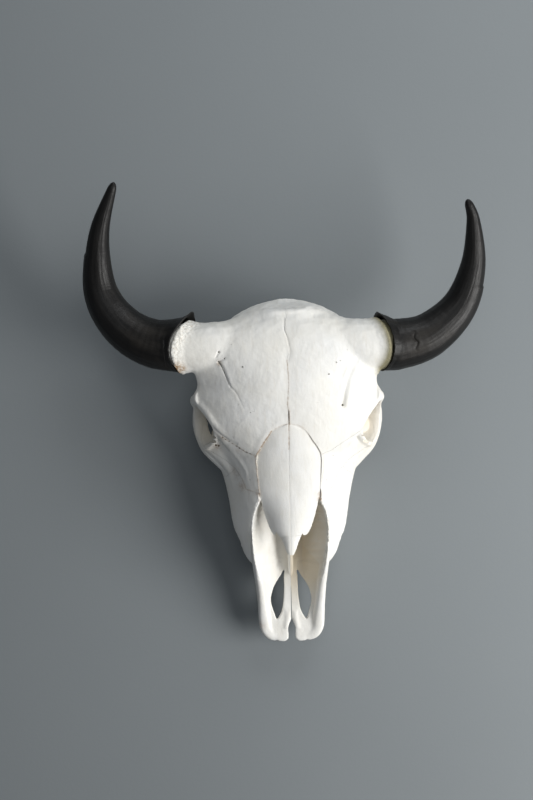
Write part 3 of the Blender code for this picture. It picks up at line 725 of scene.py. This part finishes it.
def drill(skull):
    """The foramina, pinholes, slots and notches."""
    mesh = skull.data
    tree = BVHTree.FromPolygons([v.co for v in mesh.vertices], [tuple(p.vertices) for p in mesh.polygons])
    pins = []
    for number, (x, y, radius, depth) in enumerate(FORAMINA):
        z = tree.ray_cast(mm_vector((x, y, ABOVE_ALL)), Vector((0, 0, -1)))[0].z / MM
        lean = math.sin(number * 2.3) * 1.2
        stations = [
            (x + lean * aside, y + lean * along, z + rise - depth * share, radius * width, radius * height)
            for aside, along, rise, share, width, height in PIN_SECTIONS
        ]
        pins.append(tube("pin", stations, steps=2, count=12, up=(0, 1, 0)))
    cut(skull, join("pins", pins))
    for outline, bottom in SLOTS:
        cut(skull, prism("slot", smooth_rows(outline, 3, closed=True), bottom, 240))


# ---- The skin, parted into bones ----

FRONTAL_EDGE = (
    (-10, 322), (53, 322), (70, 328), (82, 336), (97, 346), (109, 353), (121, 362), (150, 372), (230, 376),
)
FRONTAL_DEPTH = 118
LACRIMAL_EDGE = (
    (20, 262), (55, 261), (66, 263), (71, 268), (77, 284), (84, 296), (100, 312), (124, 328), (137, 334),
    (143, 346),
)
LACRIMAL_DEPTH = 96
ZYGOMATIC_EDGE = ((95, 372), (92, 345), (92, 330), (88, 312), (88, 300), (97, 291), (103, 286), (130, 280))
SNOUT_END = 137.5
SNOUT_RISE = ((120, -20), (143, -20), (143, 54), (168, 84), (196, 112), (204, 160), (120, 160))
SNOUT_RISE_WIDTH = 63.5
MIDLINE = (
    (0, -60), (0, 300), (0.6, 371), (1.0, 390), (-1.0, 402), (2.1, 434), (-0.2, 472), (4.2, 486), (2.7, 502),
    (-2.4, 520), (0.6, 542), (0, 560), (0, 700),
)
CRANIUM_MIDDLE = (
    (356, -40), (356, 118), (398, 118), (406, 130), (530, 134), (547, 150), (556.5, 172), (562, 240),
    (640, 240), (640, -40),
)
CRANIUM_MIDDLE_WIDTH = 82
CRANIUM_SIDE = ((434, -40), (434, 111), (640, 111), (640, -40))
# Bones taken off each side: name, suture, the block's other corners, wandering, seed, lowest z
PAIRED_BONES = (
    ("lacrimal", LACRIMAL_EDGE, ((141, 376), (20, 376)), 0.5, 20, LACRIMAL_DEPTH),
    ("zygomatic", ZYGOMATIC_EDGE, ((230, 280), (230, 450), (100, 450)), 0.5, 30, -20),
)


def wander(line, amplitude, seed, pitch=1.6):
    """The line in short steps, with the small bends and teeth of a suture."""
    dice = random.Random(seed)
    line = [np.array(point, float) for point in line]
    result = [line[0]]
    drift = 0.0
    for start, end in zip(line, line[1:]):
        span = end - start
        length = float(np.linalg.norm(span))
        across = np.array((-span[1], span[0])) / length
        for step in range(1, max(2, round(length / pitch))):
            drift = 0.6 * drift + dice.uniform(-amplitude, amplitude)
            result.append(start + span * step * pitch / length + across * drift)
        result.append(end)
    return result


def suture_region(line, closing, amplitude, seed, bottom, top, side=1):
    """A block behind a wandering suture on one side of the skull. Its other corners are given."""
    outline = wander(line, amplitude, seed) + list(closing)
    return prism("region", [(side * point[0], point[1]) for point in outline], bottom, top)


def part_pair(rest, name, line, closing, amplitude, seed, bottom, top):
    """Takes one bone off each side."""
    bones = []
    for label, side in SIDES.items():
        region = suture_region(line, closing, amplitude, seed + side, bottom, top, side)
        bones.append(part_off(rest, f"{name}_{label}{FINE}", region))
    return bones


def split_pair(both, name):
    """Parts a pair of bones at the midline."""
    closing = ((300, 700), (300, -60))
    left = part_off(both, name + "_left" + FINE, suture_region(MIDLINE, closing, 0.35, 11, -100, 400))
    both.name = name + "_right" + FINE
    keep_largest(both)
    return [left, both]


def snout_region():
    return union("snout_region", [
        prism("front", ((-240, -20), (240, -20), (240, SNOUT_END), (-240, SNOUT_END)), -40, 240),
        prism("rise", SNOUT_RISE, -SNOUT_RISE_WIDTH, SNOUT_RISE_WIDTH, axis="x"),
    ])


def cranium_region():
    half_width = CRANIUM_MIDDLE_WIDTH
    return union("cranium_region", [
        prism("middle", CRANIUM_MIDDLE, -half_width, half_width, axis="x"),
        prism("side", CRANIUM_SIDE, -240, 240, axis="x"),
    ])


def cheek_tooth(y, length, x, width, side):
    """A two-lobed crown with enamel ridges round the hollows of its worn chewing face."""
    rings = []
    for z, scale in TOOTH_PROFILE:
        ring = []
        for c, s in circle(48):
            along = signed_power(s, 0.62) * (length / 2 - 0.35) * scale
            turn = math.tau * along / length
            lobe = 1 - 0.1 * (1 + math.cos(2 * turn)) / 2 - 0.03 * math.cos(5 * turn)
            across = signed_power(c, 0.62) * width / 2 * scale * lobe
            ring.append(mm_vector((side * x + across, y + length / 2 + along, z)))
        rings.append(ring)
    return loft("tooth", rings)


# Notches beside the nasal bones' tips, as outlines in x, y
NASAL_NOTCHES = (
    ((-25.8, 180), (-25.2, 189), (-23.4, 195.6), (-21.4, 192), (-18.6, 189), (-17, 180)),
    ((24.6, 180), (22.6, 187), (19.2, 192.4), (17.6, 189), (16.6, 180)),
)


def nasal_pair():
    """The two nasal bones in one arched plate, with ragged sides and tips, split at the midline."""
    rings = []
    for number, (y, width, crown, drop) in enumerate(smooth_rows(NASAL_STATIONS, 14)):
        free = min(1.0, max(0.0, (262 - y) / 40))  # where no other bone holds its sides
        turned = 3.5 * free * min(1.0, width / 27)
        ragged = 0.6 * noise_at(number * 0.31, 2.5, 0) + 0.3 * noise_at(number * 1.3, 7.5, 0)
        width += ragged * (0.15 + 0.85 * free) if y < 365 else 0
        width += 1.1 * max(0.0, 1 - (y - NASAL_STATIONS[0][0]) / 16)
        top = []
        for x in np.linspace(-1, 1, 61):
            groove = 0.2 * math.exp(-((x * width) / 1.2) ** 2)
            swell = 0.35 * noise_at(x * width / 16, y / 30, 3.0)
            fall = drop + turned * (2.4 if x < 0 else 1.0)
            top.append((x, crown - fall * abs(x) ** NASAL_ARCH - groove + swell * (1 - x * x)))
        under = [(x, z - 5.0 + 2.4 * abs(x)) for x, z in reversed(top)]
        rings.append([mm_vector((x * width, y, z)) for x, z in top + under])
    both = loft("nasal", rings)
    for outline in NASAL_NOTCHES:
        cut(both, prism("notch", outline, 120, 170))
    return split_pair(both, "nasal")


# Slope from the snout's side down to the slit beside its middle bar: y, inner x, outer x, top z
SNOUT_SLOPE = ((158, 20, 58, 100), (130, 21, 55, 92), (104, 25, 52, 80), (80, 31, 50, 67), (58, 38, 47, 56))


def snout_slope():
    rings = [[mm_vector((x, y, z)) for x, z in ((inner, 44), (inner, 51), (outer, top), (outer, 44))]
             for y, inner, outer, top in smooth_rows(SNOUT_SLOPE, 4)]
    return loft("snout_slope", rings)


# Thin-walled swellings on the floor of each orbit: centre, radii
TEAR_BULLAE = (((-110, 350, 94), (18, 21, 15)), ((116, 364, 94), (20, 25, 15)))


def fine_skull():
    """All the bones in one fine skin, with the hollows open but no sutures yet."""
    core = fuse("core", core_forms(), CORE_VOXEL, 16)
    body = fuse("body", [core] + with_mirror(side_forms() + [snout_slope()]), FINE_VOXEL, 9)
    fissure = prism("fissure", smooth_rows(PALATINE_FISSURE, 3, closed=True), -20, 90)
    hollows = [orbit_form("orbit_hollow", ORBIT_HOLLOW), fissure]
    cut(body, *nose_hollow(), *with_mirror(hollows))
    cut(body, tube("magnum", FORAMEN_MAGNUM), tube("choana", CHOANA, squareness=2.6))
    bullae = [ellipsoid("tear_bulla", centre, radii) for centre, radii in TEAR_BULLAE]
    skull = fuse("skull", [body] + bullae, FINE_VOXEL, 4)
    cut(skull, prism("floor", ((-400, -100), (400, -100), (400, 800), (-400, 800)), -60, 0.02))
    return skull


def add_teeth(maxillae):
    for bone, side in zip(maxillae, SIDES.values()):
        for tooth in CHEEK_TEETH:
            form = cheek_tooth(*tooth, side)
            combine(bone, form, "UNION")
            discard(form)


def all_bones():
    skull = fine_skull()
    carve(skull)
    drill(skull)
    cut(skull, nasal_cutter())
    cranium = part_off(skull, "cranium" + FINE, cranium_region())
    vomer = tube("vomer" + FINE, VOMER_TIP + VOMER, steps=6, count=24, squareness=2.4)
    cut(skull, grown(vomer))
    frontals = part_off(skull, "frontal", union("region", [
        suture_region(FRONTAL_EDGE, ((230, 640), (-10, 640)), 0.5, seed, FRONTAL_DEPTH, ABOVE_BONES, side)
        for seed, side in ((3, 1), (4, -1))
    ]))
    bones = split_pair(frontals, "frontal")
    for bone in PAIRED_BONES:
        bones += part_pair(skull, *bone, ABOVE_BONES)
    bones += split_pair(part_off(skull, "premaxilla", snout_region()), "premaxilla")
    maxillae = split_pair(skull, "maxilla")
    add_teeth(maxillae)
    return bones + maxillae + nasal_pair() + [cranium, vomer]


# ---- Horn sheaths ----

SHEATH_SIDES = 112
SHEATH_STEPS = 34
GROWTH_STEP = {"left": 0.58, "right": 0.66}  # share of the length at which the outer side drops a step
RIM_CORNER = {"left": 5 * MM, "right": 10 * MM}  # flare of the rim's rear corner
TIP_START = 0.968  # share of the length at which the tip starts to close, and over which it closes
TIP_LENGTH = 0.0325
# Waves on the skin: height, fineness round the horn, length along it, seed, distance over which they fade
HORN_WAVES = (
    (0.45, 7, 160, 9, math.inf), (0.22, 22, 60, 5, math.inf), (0.5, 1.2, 7.5, 1, 120), (0.35, 5, 9, 3, 60),
)


def horn_relief(side, c, s, length):
    """Millimetres of ridges, fibres, base rings, bumps and one crack, at a place round and along a horn."""
    relief = 0.0
    for height, fineness, pitch, seed, fading in HORN_WAVES:
        wave = noise_at(c * fineness, s * fineness, length / pitch + SIDES[side] * seed)
        relief += height * wave * math.exp(-length / fading)
    if side == "left" and s > 0:
        relief -= 1.8 * math.exp(-((length - 52 - 2.5 * math.sin(c * 14)) / 2) ** 2 - (c / 0.36) ** 4)
    return relief


def horn_radius(share):
    """The plain radius at a share of a horn's length, and how much of it is there to blunt the tip."""
    blunt = 1.4 * MM * max(0.0, (share - 0.7) / 0.3)
    radius = HORN_BASE_RADIUS * (1 - HORN_TAPER * share ** HORN_TAPER_POWER) * 0.985 + blunt
    if share > TIP_START:
        radius *= math.sqrt(max(0.0, 1 - ((share - TIP_START) / TIP_LENGTH) ** 2)) * 0.9 + 0.1
    return radius, blunt


def sheath_ring(side, frame, length, share):
    """Points round a sheath, and the same places on a straightened horn, for its fibres."""
    centre, along, across, lift = frame
    sign = SIDES[side]
    radius, blunt = horn_radius(share)
    centre = centre - Vector((0, 0, 1.2 * blunt))
    flare = 1 + 0.055 * math.exp(-length / 9)
    fade = math.exp(-(length / 22) ** 1.5)
    growth = (share - GROWTH_STEP[side]) / 0.08
    swell = max(0.0, 1 + growth) * 0.4 if growth < 0 else -1.2 * math.exp(-growth)
    ring, straight = [], []
    for c, s in circle(SHEATH_SIDES):
        reach = radius * flare + horn_relief(side, c, s, length) * MM * (1 - share ** 4)
        reach += swell * max(0.0, sign * c) ** 2 * MM - 0.6 * MM * (1 - share)
        reach += RIM_CORNER[side] * max(0.0, -sign * c) ** 4 * math.exp(-length / 8)
        ragged = noise_at(c * 3, s * 3, 4.0) * 1.6 + noise_at(c * 11, s * 11, 8.0) * 0.9
        slant = SHEATH_RECESS[side] * max(0.0, s) ** 1.5 + RIM_LEAN * sign * c + ragged * MM
        ring.append(centre + across * (reach * c) + lift * (reach * s) + along * (fade * slant))
        straight.append((radius * c, radius * s, length * MM))
    return ring, straight


def sheath(side):
    """A horn sheath with a thin flared rim, lengthwise ridges and growth steps, and a dish in its base."""
    centres = [mm_vector(row) for row in smooth_rows(HORN_PATHS[side], SHEATH_STEPS)]
    travelled = [0.0]
    for near, far in zip(centres, centres[1:]):
        travelled.append(travelled[-1] + (far - near).length)
    rings, straight = zip(*[
        sheath_ring(side, frame, distance / MM, distance / travelled[-1])
        for frame, distance in zip(path_frames(centres), travelled)
    ])
    lip = [point.lerp(centres[0], 0.055) for point in rings[0]]
    wall = [point.lerp(centres[3], 0.09) for point in rings[3]]
    floor_x = SIDES[side] * (CORE_END[side] + 1) * MM
    floor = [
        Vector((floor_x, centres[0].y - across * 0.88 * SIDES[side], centres[0].z + up * 0.88))
        for across, up, _ in straight[0]
    ]
    horn = loft("horn_" + side + FINE, [floor, wall, lip, *rings])
    attribute = horn.data.attributes.new("straight", "FLOAT_VECTOR", "POINT")
    places = [straight[0]] * 3 + list(straight)
    attribute.data.foreach_set("vector", np.array(places, np.float32).ravel())
    return horn


# ---- Marks on the bone, kept on its points ----

# Stained sutures: line in x, y; strength
SEAMS = (
    (((-54, 320), (-39.5, 343), (-27, 361)), 0.75),
    (((-27, 361), (-10, 370), (1, 371.4)), 0.3),
    (((54, 320), (37.5, 345), (26, 363), (15, 369.5), (1, 371.4)), 0.25),
    (((1, 371), (1, 392)), 1.0),
    (((0, 332), (0.6, 371)), 0.55),
    (((1, 392), (-1, 402), (2, 434), (0, 472)), 0.45),
    (((-108, 353), (-82, 337), (-70, 328), (-54, 321)), 0.35),
    (((-54.5, 320), (-52, 292), (-50, 270), (-49.5, 245)), 0.4),
    (((55.5, 318), (55, 297), (51, 268), (49, 245)), 0.2),
    (((-77, 284), (-71, 266), (-55, 261.5)), 0.35),
)

CRUST_REACH = {"left": 12.0, "right": 1.4}  # of the dried skin beside each sheath's lip

# Beige inside the orbits, partly the bone's tone and partly painted shade in the hollows: x, strength; then
# y, z of the middle and the radii
SOCKET_TINT_AND_SHADE = ((-134, 0.95), (134, 0.9))
SOCKET_MIDDLE = (372, 108)
SOCKET_RADII = (20, 38, 32)

# Brown spots: x, y, z, radius, strength
STAINS = (
    (-176, 464, 184, 10, 1.0), (-168, 461, 180, 8, 1.0), (-176, 460, 172, 9, 1.0), (-168, 507, 200, 4, 0.7),
    (-166, 498, 200, 3, 0.6), (-80, 294, 128, 12, 0.45), (-72, 272, 128, 9, 0.8), (-62, 262, 130, 7, 0.7),
    (48.5, 256, 147, 4, 1.0), (48.5, 248, 147, 4, 0.9), (-50, 262, 146, 6, 0.8), (1, 384, 196, 3, 1.0),
    (-104, 354, 158, 6, 0.7), (-78, 334, 158, 6, 0.8), (-66, 326, 158, 5, 0.7), (-55, 321, 160, 4, 0.9),
    (-108, 470, 190, 4, 0.6), (87, 400, 196, 4, 0.6), (-115, 338, 132, 8, 0.5), (-64, 140, 70, 8, 0.3),
    (-62, 95, 60, 6, 0.25), (-52, 30, 52, 8, 0.35), (150, 400, 120, 10, 0.25),
)


def nose_tint_and_shade(points):
    """Up to 1 on the walls inside the nose, where beige goes: partly the bone's own tone and partly painted
    shade, strongest on the animal's left wall, which faces away from the key lamp.
    """
    rows = np.array(NOSE_TROUGH + NOSE_TUNNEL[1:], float)
    x, y, z = points.T
    floor_x, floor_z, rim_x, rim_z = (np.interp(y, rows[:, 0], rows[:, column]) for column in (1, 2, 3, 4))
    share = np.clip((z - floor_z) / (rim_z - floor_z), 0, 1)
    front = np.clip((165 - y) / 30, 0, 1)
    wall = floor_x + (rim_x - floor_x) * np.maximum(share, 0.8 * front)
    within = np.clip((wall + 2.6 - np.abs(x)) / 4, 0, 1)
    below_rim = np.clip((rim_z + 1 - z) / 8, 0, 1)
    above_floor = np.clip((z - floor_z + 8) / 5, 0, 1)
    along = np.clip((y - 50) / 60, 0, 1) * (y < 345)
    # painted shade: the wall on the animal's left, turned from the key lamp, takes the full beige
    return within * below_rim * above_floor * along * np.where(x > 0, 1.0, 0.12)


def stained(points):
    """Up to 1 in the brown of the sutures and spots."""
    stain = np.zeros(len(points))
    for line, strength in SEAMS:
        away = line_distance(points[:, :2], line)[0]
        near = np.exp(-(away / 0.9) ** 2) + 0.12 * np.exp(-(away / 4) ** 2)
        stain = np.maximum(stain, strength * near * (points[:, 2] > 100))
    for x, y, z, radius, strength in STAINS:
        away = np.linalg.norm(points - np.array((x, y, z)), axis=1)
        stain = np.maximum(stain, strength * np.exp(-(away / radius) ** 2))
    return stain


def enclosed(points):
    """Up to 1 inside the nose and the orbits, where beige and painted shade go."""
    inner = nose_tint_and_shade(points)
    for x, strength in SOCKET_TINT_AND_SHADE:
        away = np.linalg.norm((points - np.array((x, *SOCKET_MIDDLE))) / np.array(SOCKET_RADII), axis=1)
        inner = np.maximum(inner, strength * np.exp(-away ** 2))
    return inner


def mark(bone, rims):
    """Stores how stained, enclosed (beige with painted shade), crusted, rough and tooth-like the bone is at
    each point.
    """
    points = read_vertices(bone.data) / MM
    kind, _, side = bone.name.removesuffix(FINE).partition("_")
    none = np.zeros(len(points))
    crust = tooth = none
    if kind == "frontal":
        reach = np.array([rims[side].find(Vector(point))[2] for point in points])
        crust = np.exp(-(reach / CRUST_REACH[side]) ** 2)
    if kind == "maxilla":
        tooth = np.clip((21 - points[:, 2]) / 2.5, 0, 1) * (points[:, 1] > 163) * (points[:, 1] < 314)
    marks = {
        "stain": stained(points),
        "inner": none if kind == "nasal" else enclosed(points),
        # inside the nose and orbits: beige, partly painted shade
        "crust": crust,
        "burr": burr_share(points),
        "tooth": tooth,
    }
    for name, values in marks.items():
        attribute = bone.data.attributes.new(name, "FLOAT", "POINT")
        attribute.data.foreach_set("value", values.astype(np.float32))


# ---- Materials ----

BONE_WHITE = (0.91, 0.905, 0.88)
BONE_CREAM = (0.88, 0.86, 0.80)
BONE_GREY = (0.80, 0.79, 0.76)
BONE_STREAK = (0.76, 0.70, 0.60)
PIT_BROWN = (0.46, 0.38, 0.27)
# beige of the nose and orbit hollows, partly the bone's tone and partly painted shade
HOLLOW_BEIGE_AND_SHADE = (0.80, 0.69, 0.51)
STAIN_BROWN = (0.36, 0.21, 0.085)
CRUST_PAINTS = ((0.20, 0.18, 0.11), (0.46, 0.42, 0.26))
TOOTH_PAINTS = ((0.70, 0.66, 0.55), (0.34, 0.26, 0.17))
HORN_PAINTS = ((0.003, 0.0028, 0.0027), (0.012, 0.011, 0.0103))
HORN_WORN = (0.040, 0.033, 0.025)
FLOOR_PAINTS = ((0.217, 0.239, 0.251), (0.234, 0.256, 0.268))


class Nodes:
    """Builds a material's nodes with few words."""

    def __init__(self, name):
        self.material = bpy.data.materials.new(name)
        self.material.use_nodes = True
        self.tree = self.material.node_tree
        self.shader = self.tree.nodes["Principled BSDF"].inputs
        self.place = self.add("TexCoord", {}, "Object")

    def plug(self, value, socket):
        if isinstance(value, bpy.types.NodeSocket):
            self.tree.links.new(value, socket)
        elif isinstance(value, tuple) and socket.type == "RGBA":
            socket.default_value = (*value, 1)
        else:
            socket.default_value = value

    def add(self, kind, inputs, output=0, **settings):
        """A new node with its settings and inputs, of which one output is handed back."""
        node = self.tree.nodes.new("ShaderNode" + kind)
        for name, value in settings.items():
            setattr(node, name, value)
        for name, value in inputs.items():
            self.plug(value, node.inputs[name])
        return node.outputs[output]

    def mark(self, name, output="Fac"):
        return self.add("Attribute", {}, output, attribute_name=name)

    def noise(self, scale, detail=4, place=None, roughness=0.5, stretch=None):
        place = place or self.place
        if stretch:
            place = self.stretched(place, stretch)
        inputs = {"Scale": scale, "Detail": detail, "Roughness": roughness, "Vector": place}
        return self.add("TexNoise", inputs, "Fac")

    def cells(self, scale, place=None):
        return self.add("TexVoronoi", {"Scale": scale, "Vector": place or self.place}, "Distance")

    def stretched(self, place, factors):
        return self.add("VectorMath", {0: place, 1: factors}, operation="MULTIPLY")

    def ramp(self, value, low, high, start=0.0, end=1.0):
        inputs = {"From Min": low, "From Max": high, "To Min": start, "To Max": end, "Value": value}
        return self.add("MapRange", inputs, "Result")

    def maths(self, operation, first, second):
        return self.add("Math", {0: first, 1: second}, operation=operation)

    def mix(self, share, first, second):
        return self.add("Mix", {"Factor": share, 6: first, 7: second}, 2, data_type="RGBA")

    def tint(self, colour, share, strength, paint):
        return self.mix(self.maths("MULTIPLY", share, strength), colour, paint)

    def bump(self, height, depth, strength, below=None):
        inputs = {"Distance": depth, "Strength": strength, "Height": height}
        if below is not None:
            inputs["Normal"] = below
        return self.add("Bump", inputs, "Normal")

    def shade(self, **inputs):
        """Fills the shader's inputs, where an underscore in a name stands for a space."""
        for name, value in inputs.items():
            self.plug(value, self.shader[name.replace("_", " ")])
        return self.material


def bone_colour(n, burr, crust, tooth):
    """Off-white with cream clouds, brown in the sutures, beige inside the nose and orbits that is partly
    painted shade, and grey-brown teeth.
    """
    colour = n.mix(n.ramp(n.noise(14, 5), 0.35, 0.68), BONE_WHITE, BONE_CREAM)
    colour = n.tint(colour, n.ramp(n.noise(38), 0.5, 0.8), 0.35, BONE_GREY)
    streaks = n.ramp(n.noise(60, 6, stretch=(3.5, 0.5, 1.5)), 0.52, 0.75)
    colour = n.tint(colour, streaks, 0.25, BONE_STREAK)
    pits = n.ramp(n.noise(330, 6, roughness=0.65), 0.50, 0.40)
    colour = n.tint(colour, n.maths("MULTIPLY", pits, burr), 0.45, PIT_BROWN)
    # beige inside the nose and orbits: partly the bone's tone, partly painted shade
    colour = n.tint(colour, n.mark("inner"), 0.75, HOLLOW_BEIGE_AND_SHADE)
    patchy = n.ramp(n.noise(220, 5, roughness=0.7), 0.34, 0.56)
    stain = n.maths("MULTIPLY", n.mark("stain"), patchy)
    colour = n.mix(n.ramp(stain, 0.0, 0.9), colour, STAIN_BROWN)
    crumbs = n.mix(n.noise(420), *CRUST_PAINTS)
    colour = n.mix(n.ramp(crust, 0.08, 0.7), colour, crumbs)
    enamel = n.ramp(n.noise(90, 5, stretch=(1, 1, 0.25)), 0.4, 0.7)
    return n.mix(tooth, colour, n.mix(enamel, *TOOTH_PAINTS))


def bone_material():
    """Dry bone, with a fine grain, pores, and rougher collars and crust."""
    n = Nodes("bone")
    burr, crust, tooth = n.mark("burr"), n.mark("crust"), n.mark("tooth")
    rough = n.ramp(n.noise(120), 0.3, 0.7, 0.50, 0.66)
    normal = n.bump(n.noise(55, 6, roughness=0.6), 0.0012, 0.45)
    normal = n.bump(n.noise(260, 6, roughness=0.62, stretch=(1.0, 0.45, 1.0)), 0.0005, 0.55, normal)
    normal = n.bump(n.ramp(n.cells(900), 0.0, 0.32), 0.00025, 0.5, normal)
    lumps = n.maths("MULTIPLY", n.noise(310, 8, roughness=0.7), n.maths("ADD", burr, crust))
    return n.shade(
        Base_Color=bone_colour(n, burr, crust, tooth),
        Roughness=n.maths("SUBTRACT", rough, n.maths("MULTIPLY", tooth, 0.25)),
        IOR=1.48,
        Normal=n.bump(lumps, 0.0016, 0.7, normal),
    )


def horn_material():
    """Black horn: fine fibres along it, a few brown worn streaks and a dull shine."""
    n = Nodes("horn")
    place = n.mark("straight", "Vector")
    fibres = n.noise(95, 6, place, 0.65, (1.0, 1.0, 0.055))
    fine = n.noise(420, 5, place, 0.6, (1.0, 1.0, 0.05))
    bands = n.noise(60, 5, place, 0.6, (0.25, 0.25, 1.6))
    worn = n.ramp(n.noise(22, 5, place, 0.6, (1.0, 1.0, 0.35)), 0.52, 0.72)
    colour = n.mix(n.ramp(fibres, 0.35, 0.7), *HORN_PAINTS)
    normal = n.bump(fibres, 0.0014, 0.65)
    normal = n.bump(fine, 0.0004, 0.55, normal)
    normal = n.bump(bands, 0.0010, 0.55, normal)
    chips = n.ramp(n.cells(70, n.stretched(place, (1, 1, 0.4))), 0.0, 0.12)
    return n.shade(
        Base_Color=n.tint(colour, worn, 0.3, HORN_WORN),
        Roughness=n.maths("ADD", n.ramp(fine, 0.3, 0.7, 0.36, 0.54), n.maths("MULTIPLY", worn, 0.16)),
        IOR=1.5,
        Specular_IOR_Level=0.3,
        Normal=n.bump(chips, 0.0006, 0.25, normal),
    )


def floor_material():
    n = Nodes("floor")
    colour = n.mix(n.noise(3), *FLOOR_PAINTS)
    return n.shade(Base_Color=colour, Roughness=0.85, Normal=n.bump(n.noise(180), 0.0006, 0.25))


# ---- The pieces on the model ----

# Lamps: name, place, size, watts, colour. Metres and watts.
LAMPS = (
    ("key", (1.9, -0.6, 1.35), 1.6, 62, (1.0, 0.99, 0.97)),
    ("rear", (0.6, 1.8, 1.2), 1.2, 15, (0.97, 0.99, 1.0)),
    ("top", (0.0, 0.4, 2.6), 1.5, 6, (0.97, 0.99, 1.0)),
)
LAMP_AIM = (0.0, 0.0, 0.1)
ROOM_COLOUR = (0.87, 0.93, 1.0)
ROOM_STRENGTH = 0.135
FLOOR_REACH = 4
CAMERA_PLACE = (-0.0340, 0.4103, 2.307)  # from the snout's end
CAMERA_TURN = math.radians(-1.34)


def skull_origin():
    """Where the snout's end of the midline, at the teeth's level, lies in the model's frame."""
    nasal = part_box("nasal_left")
    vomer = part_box("vomer")
    return Vector(((vomer[0][0] + vomer[1][0]) / 2, nasal[0][1] - NASAL_STATIONS[0][0] * MM, 0))


def tidy_faces(mesh):
    """Merges the shortest edges, then takes out faces that lie folded on the same three points."""
    bm = bmesh.new()
    bm.from_mesh(mesh)
    bmesh.ops.dissolve_degenerate(bm, dist=SLIVER, edges=bm.edges)
    bmesh.ops.triangulate(bm, faces=bm.faces)
    bm.verts.index_update()
    places = np.round(np.array([vert.co for vert in bm.verts]) / SAME_PLACE).astype(np.int64)
    same = np.unique(places, axis=0, return_inverse=True)[1].ravel()
    corners = np.sort([[same[vert.index] for vert in face.verts] for face in bm.faces], axis=1)
    match, count = np.unique(corners, axis=0, return_inverse=True, return_counts=True)[1:]
    folded = [face for face, twins in zip(bm.faces, count[match.ravel()]) if twins > 1]
    bmesh.ops.delete(bm, geom=folded, context="FACES")
    bm.to_mesh(mesh)
    bm.free()


def settle(piece, origin, look):
    """Places a finished piece in the model's frame, in the place of its own solid."""
    write_vertices(piece.data, read_vertices(piece.data) + np.array(origin))
    tidy_faces(piece.data)
    piece.data.materials.clear()
    piece.data.materials.append(look)
    piece.data.shade_smooth()
    piece.data.set_sharp_from_angle(angle=SHARP_ANGLE)
    node = piece.name.removesuffix(FINE)
    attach(piece, "root")
    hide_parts(node)


def area_light(name, place, size, watts, colour):
    light = bpy.data.lights.new(name, "AREA")
    light.shape = "DISK"
    light.size = size
    light.energy = watts
    light.color = colour
    obj = add_object(name, light)
    obj.location = place
    obj.rotation_euler = (Vector(LAMP_AIM) - Vector(place)).to_track_quat("-Z", "Y").to_euler()


def studio(origin):
    """The floor, three soft lamps, the strongest on the animal's left, and the camera straight above."""
    bm = bmesh.new()
    bmesh.ops.create_grid(bm, x_segments=1, y_segments=1, size=FLOOR_REACH)
    floor = new_object("floor", bm)
    floor.data.materials.append(floor_material())
    for lamp in LAMPS:
        area_light(*lamp)
    world = bpy.data.worlds.new("room")
    world.use_nodes = True
    room = world.node_tree.nodes["Background"].inputs
    room["Color"].default_value = (*ROOM_COLOUR, 1)
    room["Strength"].default_value = ROOM_STRENGTH
    scene = bpy.context.scene
    scene.world = world
    scene.view_settings.view_transform = "Standard"
    camera = bpy.data.cameras.new("camera")
    camera.lens = 60
    camera.sensor_width = 36
    viewer = add_object("camera", camera)
    viewer.location = Vector(CAMERA_PLACE) + origin
    viewer.rotation_euler = (0, 0, CAMERA_TURN)
    scene.camera = viewer


def rim_tree(horn):
    """The points of a sheath's lip, for finding the nearest."""
    tree = kdtree.KDTree(SHEATH_SIDES)
    for number in range(SHEATH_SIDES):
        tree.insert(horn.data.vertices[2 * SHEATH_SIDES + number].co / MM, number)
    tree.balance()
    return tree


def main():
    origin = skull_origin()
    sheaths = {side: sheath(side) for side in SIDES}
    rims = {side: rim_tree(horn) for side, horn in sheaths.items()}
    bones = all_bones()
    for side, horn in sheaths.items():
        frontal = bpy.data.objects["frontal_" + side + FINE]
        cut(frontal, grown(horn))
        keep_largest(frontal)
    bone_look = bone_material()
    for bone in bones:
        mark(bone, rims)
        settle(bone, origin, bone_look)
    horn_look = horn_material()
    for horn in sheaths.values():
        settle(horn, origin, horn_look)
    studio(origin)


main()
